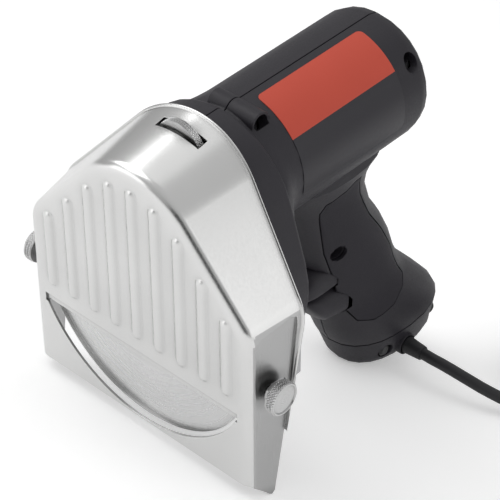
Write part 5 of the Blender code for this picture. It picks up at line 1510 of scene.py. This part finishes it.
    def lay(self, start: Vector) -> list[Vector]:
        """Return the whole lead's centreline from the exit to the plug.

        Args:
            start: The exit, in the row frame.

        Returns:
            The points in order.
        """
        ahead = Vector((1, 0, 0))
        route = [start + ahead * self.end_gap, start + ahead * 2 * self.radius]
        for (across, along), share in zip(self.route, self.drops):
            height = self.base + (start.z - self.base) * share
            route.append(Vector((start.x + across, start.y + along, height)))
        joint = Vector((start.x + self.join[0], start.y + self.join[1], self.base))
        heading = Vector((math.cos(self.heading), math.sin(self.heading), 0))
        route += [joint - heading * self.plan_step, joint]
        turns = self.turns(self.run_length(self.smooth(route, self.plan_step)))
        outer = self.outer_radius(turns)
        begin = joint + heading * (2 * self.radius + self.end_gap)
        centre = (begin.x - heading.y * outer, begin.y + heading.x * outer)
        coil = self.coil(centre, turns)
        onward = (coil[-1] - coil[-2]).normalized()
        tail = [coil[-1] + onward * self.end_gap, coil[-1] + onward * (self.end_gap + self.radius)]
        tail += self.tail(centre, coil[-1], outer)
        return [start, *self.smooth(route, self.step)[1:], *coil[1:], *self.smooth(tail, self.step)[1:]]

    def plug(self, end: Sequence[Vector]) -> Piece:
        """Dress the plug: a rubber body and two plated pins, in line with the lead's end.

        Args:
            end: The lead's last points.

        Returns:
            The plug.
        """
        piece = Workbench.refined("plug", "mains_plug", self.plug_edge)
        points = [vertex.co for vertex in piece.data.vertices]
        ahead = Vector((end[-1] - end[-2]).to_2d().normalized().to_3d())
        pins = max(point.dot(ahead) for point in points) - self.pin_length
        finishes = [self.materials[slot] for slot in (Slot.RUBBER, Slot.PLATED)]
        self.split(piece, *finishes, lambda face: face.center.dot(ahead) > pins)
        self.hand_over(piece, Body.HOUSING, Slot.RUBBER, ["plug"], in_tool_frame=False)
        return piece

    def build(self) -> None:
        start = self.tool.point(*self.exit_place)
        points = self.lay(start)
        curve = bpy.data.curves.new("mains_lead", "CURVE")
        curve.dimensions = "3D"
        curve.bevel_depth = self.radius
        curve.bevel_resolution = 5
        curve.use_fill_caps = True
        run = curve.splines.new("POLY")
        run.points.add(len(points) - 1)
        for item, point in zip(run.points, points):
            item.co = (*point, 1)
        run.use_smooth = True
        piece = Workbench.added("mains_lead", curve)
        nodes = ["cord", "cord_coil", "cord_tail"]
        self.hand_over(piece, Body.HOUSING, Slot.RUBBER, nodes, in_tool_frame=False)
        tie = Workbench.refined("coil_tie", "lead_tie", self.tie_edge)
        self.hand_over(tie, Body.HOUSING, Slot.GRIP, ["coil_tie"], in_tool_frame=False)
        self.plug(points)


@dataclass
class Works(Assembly):
    """The works inside, which keep their CAD shapes."""

    def build(self) -> None:
        """Give each node that still shows the material of its slot."""
        slots = {row["node"]: Slot(row["material_slot"]) for row in frame["record"]["subparts"]}
        dark = BLACK_OXIDE.material(self.tool.tilt)
        for name, node in frame["nodes"].items():
            if node.hide_render:
                continue
            shown = dark if name.startswith(("housing_screw", "foot_screw")) else self.materials[slots[name]]
            for place in node.material_slots:
                place.material = shown
            log.info("%s: keeps its shape, finish %s", name, slots[name].value)


@dataclass
class Studio:
    """A pale floor, soft lamps and the camera."""

    camera_place: Triple = (0.41157, -0.61605, 0.38943)
    camera_turn: Triple = (65.08, -13.265, 40.856)
    lens: float = 158.4
    sensor: float = 36.0
    floor_tone: float = 0.93
    floor_size: float = 12.0
    floor_mottle: float = 3.0
    floor_change: float = 0.004
    floor_glow: tuple[tuple[str, float], ...] = (
        ("Is Camera Ray", 0.32),
        ("Is Glossy Ray", 0.2),
        ("Is Transmission Ray", 0.2),
    )
    air_tone: float = 0.42
    zenith_tone: float = 0.6
    room_tone: float = 0.02
    room_side: Triple = (0.57, -0.82, 0.06)
    room_edges: Point = (0.90, 0.975)
    lamp_aim: Triple = (0.0, 0.0, 0.06)
    lamps: tuple[tuple[str, Triple, Point, float], ...] = (
        ("key", (-0.85, -0.55, 1.0), (1.1, 0.9), 1.9),
        ("overhead", (-0.2, 0.15, 1.25), (1.1, 0.9), 0.35),
        ("side", (1.1, 0.1, 0.48), (1.1, 0.84), 0.68),
        ("low", (-0.75, -0.95, 0.24), (0.9, 0.36), 1.3),
    )

    def lamp(self, name: str, place: Sequence[float], size: Point, radiance: float) -> None:
        """Add one soft lamp that faces the tool.

        Args:
            name: The lamp's name.
            place: Where it hangs.
            size: Its width and height.
            radiance: How bright its face looks, where 1 is white.
        """
        Workbench.clear()
        bpy.ops.object.light_add(type="AREA", location=place)
        lamp = bpy.context.object
        lamp.name = name
        lamp.data.shape = "RECTANGLE"
        lamp.data.size, lamp.data.size_y = size
        lamp.data.energy = radiance * math.pi * size[0] * size[1]
        lamp.rotation_euler = (Vector(self.lamp_aim) - Vector(place)).to_track_quat("-Z", "Y").to_euler()

    def air(self) -> None:
        """Light the air evenly, brighter overhead and dark where the room lies behind the camera."""
        world = bpy.data.worlds.new("studio_air")
        world.use_nodes = True
        tree = Tree(world.node_tree)
        toward = tree.add("ShaderNodeTexCoord").outputs["Generated"]
        away = {1: Vector(self.room_side).normalized()}
        facing = tree.add("ShaderNodeVectorMath", away, operation="DOT_PRODUCT")
        rise = tree.add("ShaderNodeSeparateXYZ")
        mixed = tree.add("ShaderNodeMix", {"B": self.room_tone})
        for node in (facing, rise):
            tree.link(toward, node.inputs[0])
        rows = (
            ("Factor", facing.outputs["Value"], (*self.room_edges, 0, 1)),
            ("A", rise.outputs["Z"], (0, 1, self.air_tone, self.zenith_tone)),
        )
        for name, value, ends in rows:
            tree.link(tree.ramp(value, ends, interpolation_type="SMOOTHSTEP"), mixed.inputs[name])
        tree.link(mixed.outputs["Result"], tree.tree.nodes["Background"].inputs["Color"])
        bpy.context.scene.world = world

    def floor(self) -> None:
        """Lay the floor with a faint mottle in its tone."""
        Workbench.clear()
        bpy.ops.mesh.primitive_plane_add(size=self.floor_size)
        floor = bpy.context.object
        floor.name = "floor"
        sheet = Sheet("pale_floor", 0)
        sheet.colour(sheet.drift(self.floor_mottle), (self.floor_tone,) * 3, self.floor_change)
        settle(sheet.shader, {"Roughness": 0.9, "Specular IOR Level": 0.1, "Emission Color": (1, 1, 1, 1)})
        path = sheet.add("ShaderNodeLightPath").outputs
        glow = None
        for ray, strength in self.floor_glow:
            step = sheet.add("ShaderNodeMath", {1: strength, 2: 0}, operation="MULTIPLY_ADD")
            sheet.link(path[ray], step.inputs[0])
            if glow:
                sheet.link(glow, step.inputs[2])
            glow = step.outputs["Value"]
        sheet.link(glow, sheet.shader.inputs["Emission Strength"])
        floor.data.materials.append(sheet.material)

    def build(self) -> None:
        """Set up the floor, the world, the lamps and the camera."""
        self.floor()
        self.air()
        for row in self.lamps:
            self.lamp(*row)
        camera_data = bpy.data.cameras.new("photo_camera")
        camera_data.lens = self.lens
        camera_data.sensor_width = self.sensor
        camera = Workbench.added("photo_camera", camera_data)
        camera.location = self.camera_place
        camera.rotation_euler = [math.radians(turn) for turn in self.camera_turn]
        bpy.context.scene.camera = camera
        bpy.context.scene.view_settings.view_transform = "Standard"


def main() -> None:
    """Build every assembly and the studio."""
    logging.basicConfig(level=logging.INFO, format="%(name)s %(message)s")
    tool = ToolFrame(frame["record"]["behaviour"]["joints"])
    materials = {slot: finish.material(tool.tilt) for slot, finish in FINISHES.items()}
    for assembly in (Cover, Blade, Thumbwheel, ClampKnobs, Mouldings, Trigger, Label, Lead, Works):
        assembly(tool, materials).build()
    Studio().build()
    Workbench.clear()


if __name__ == "__main__":
    main()
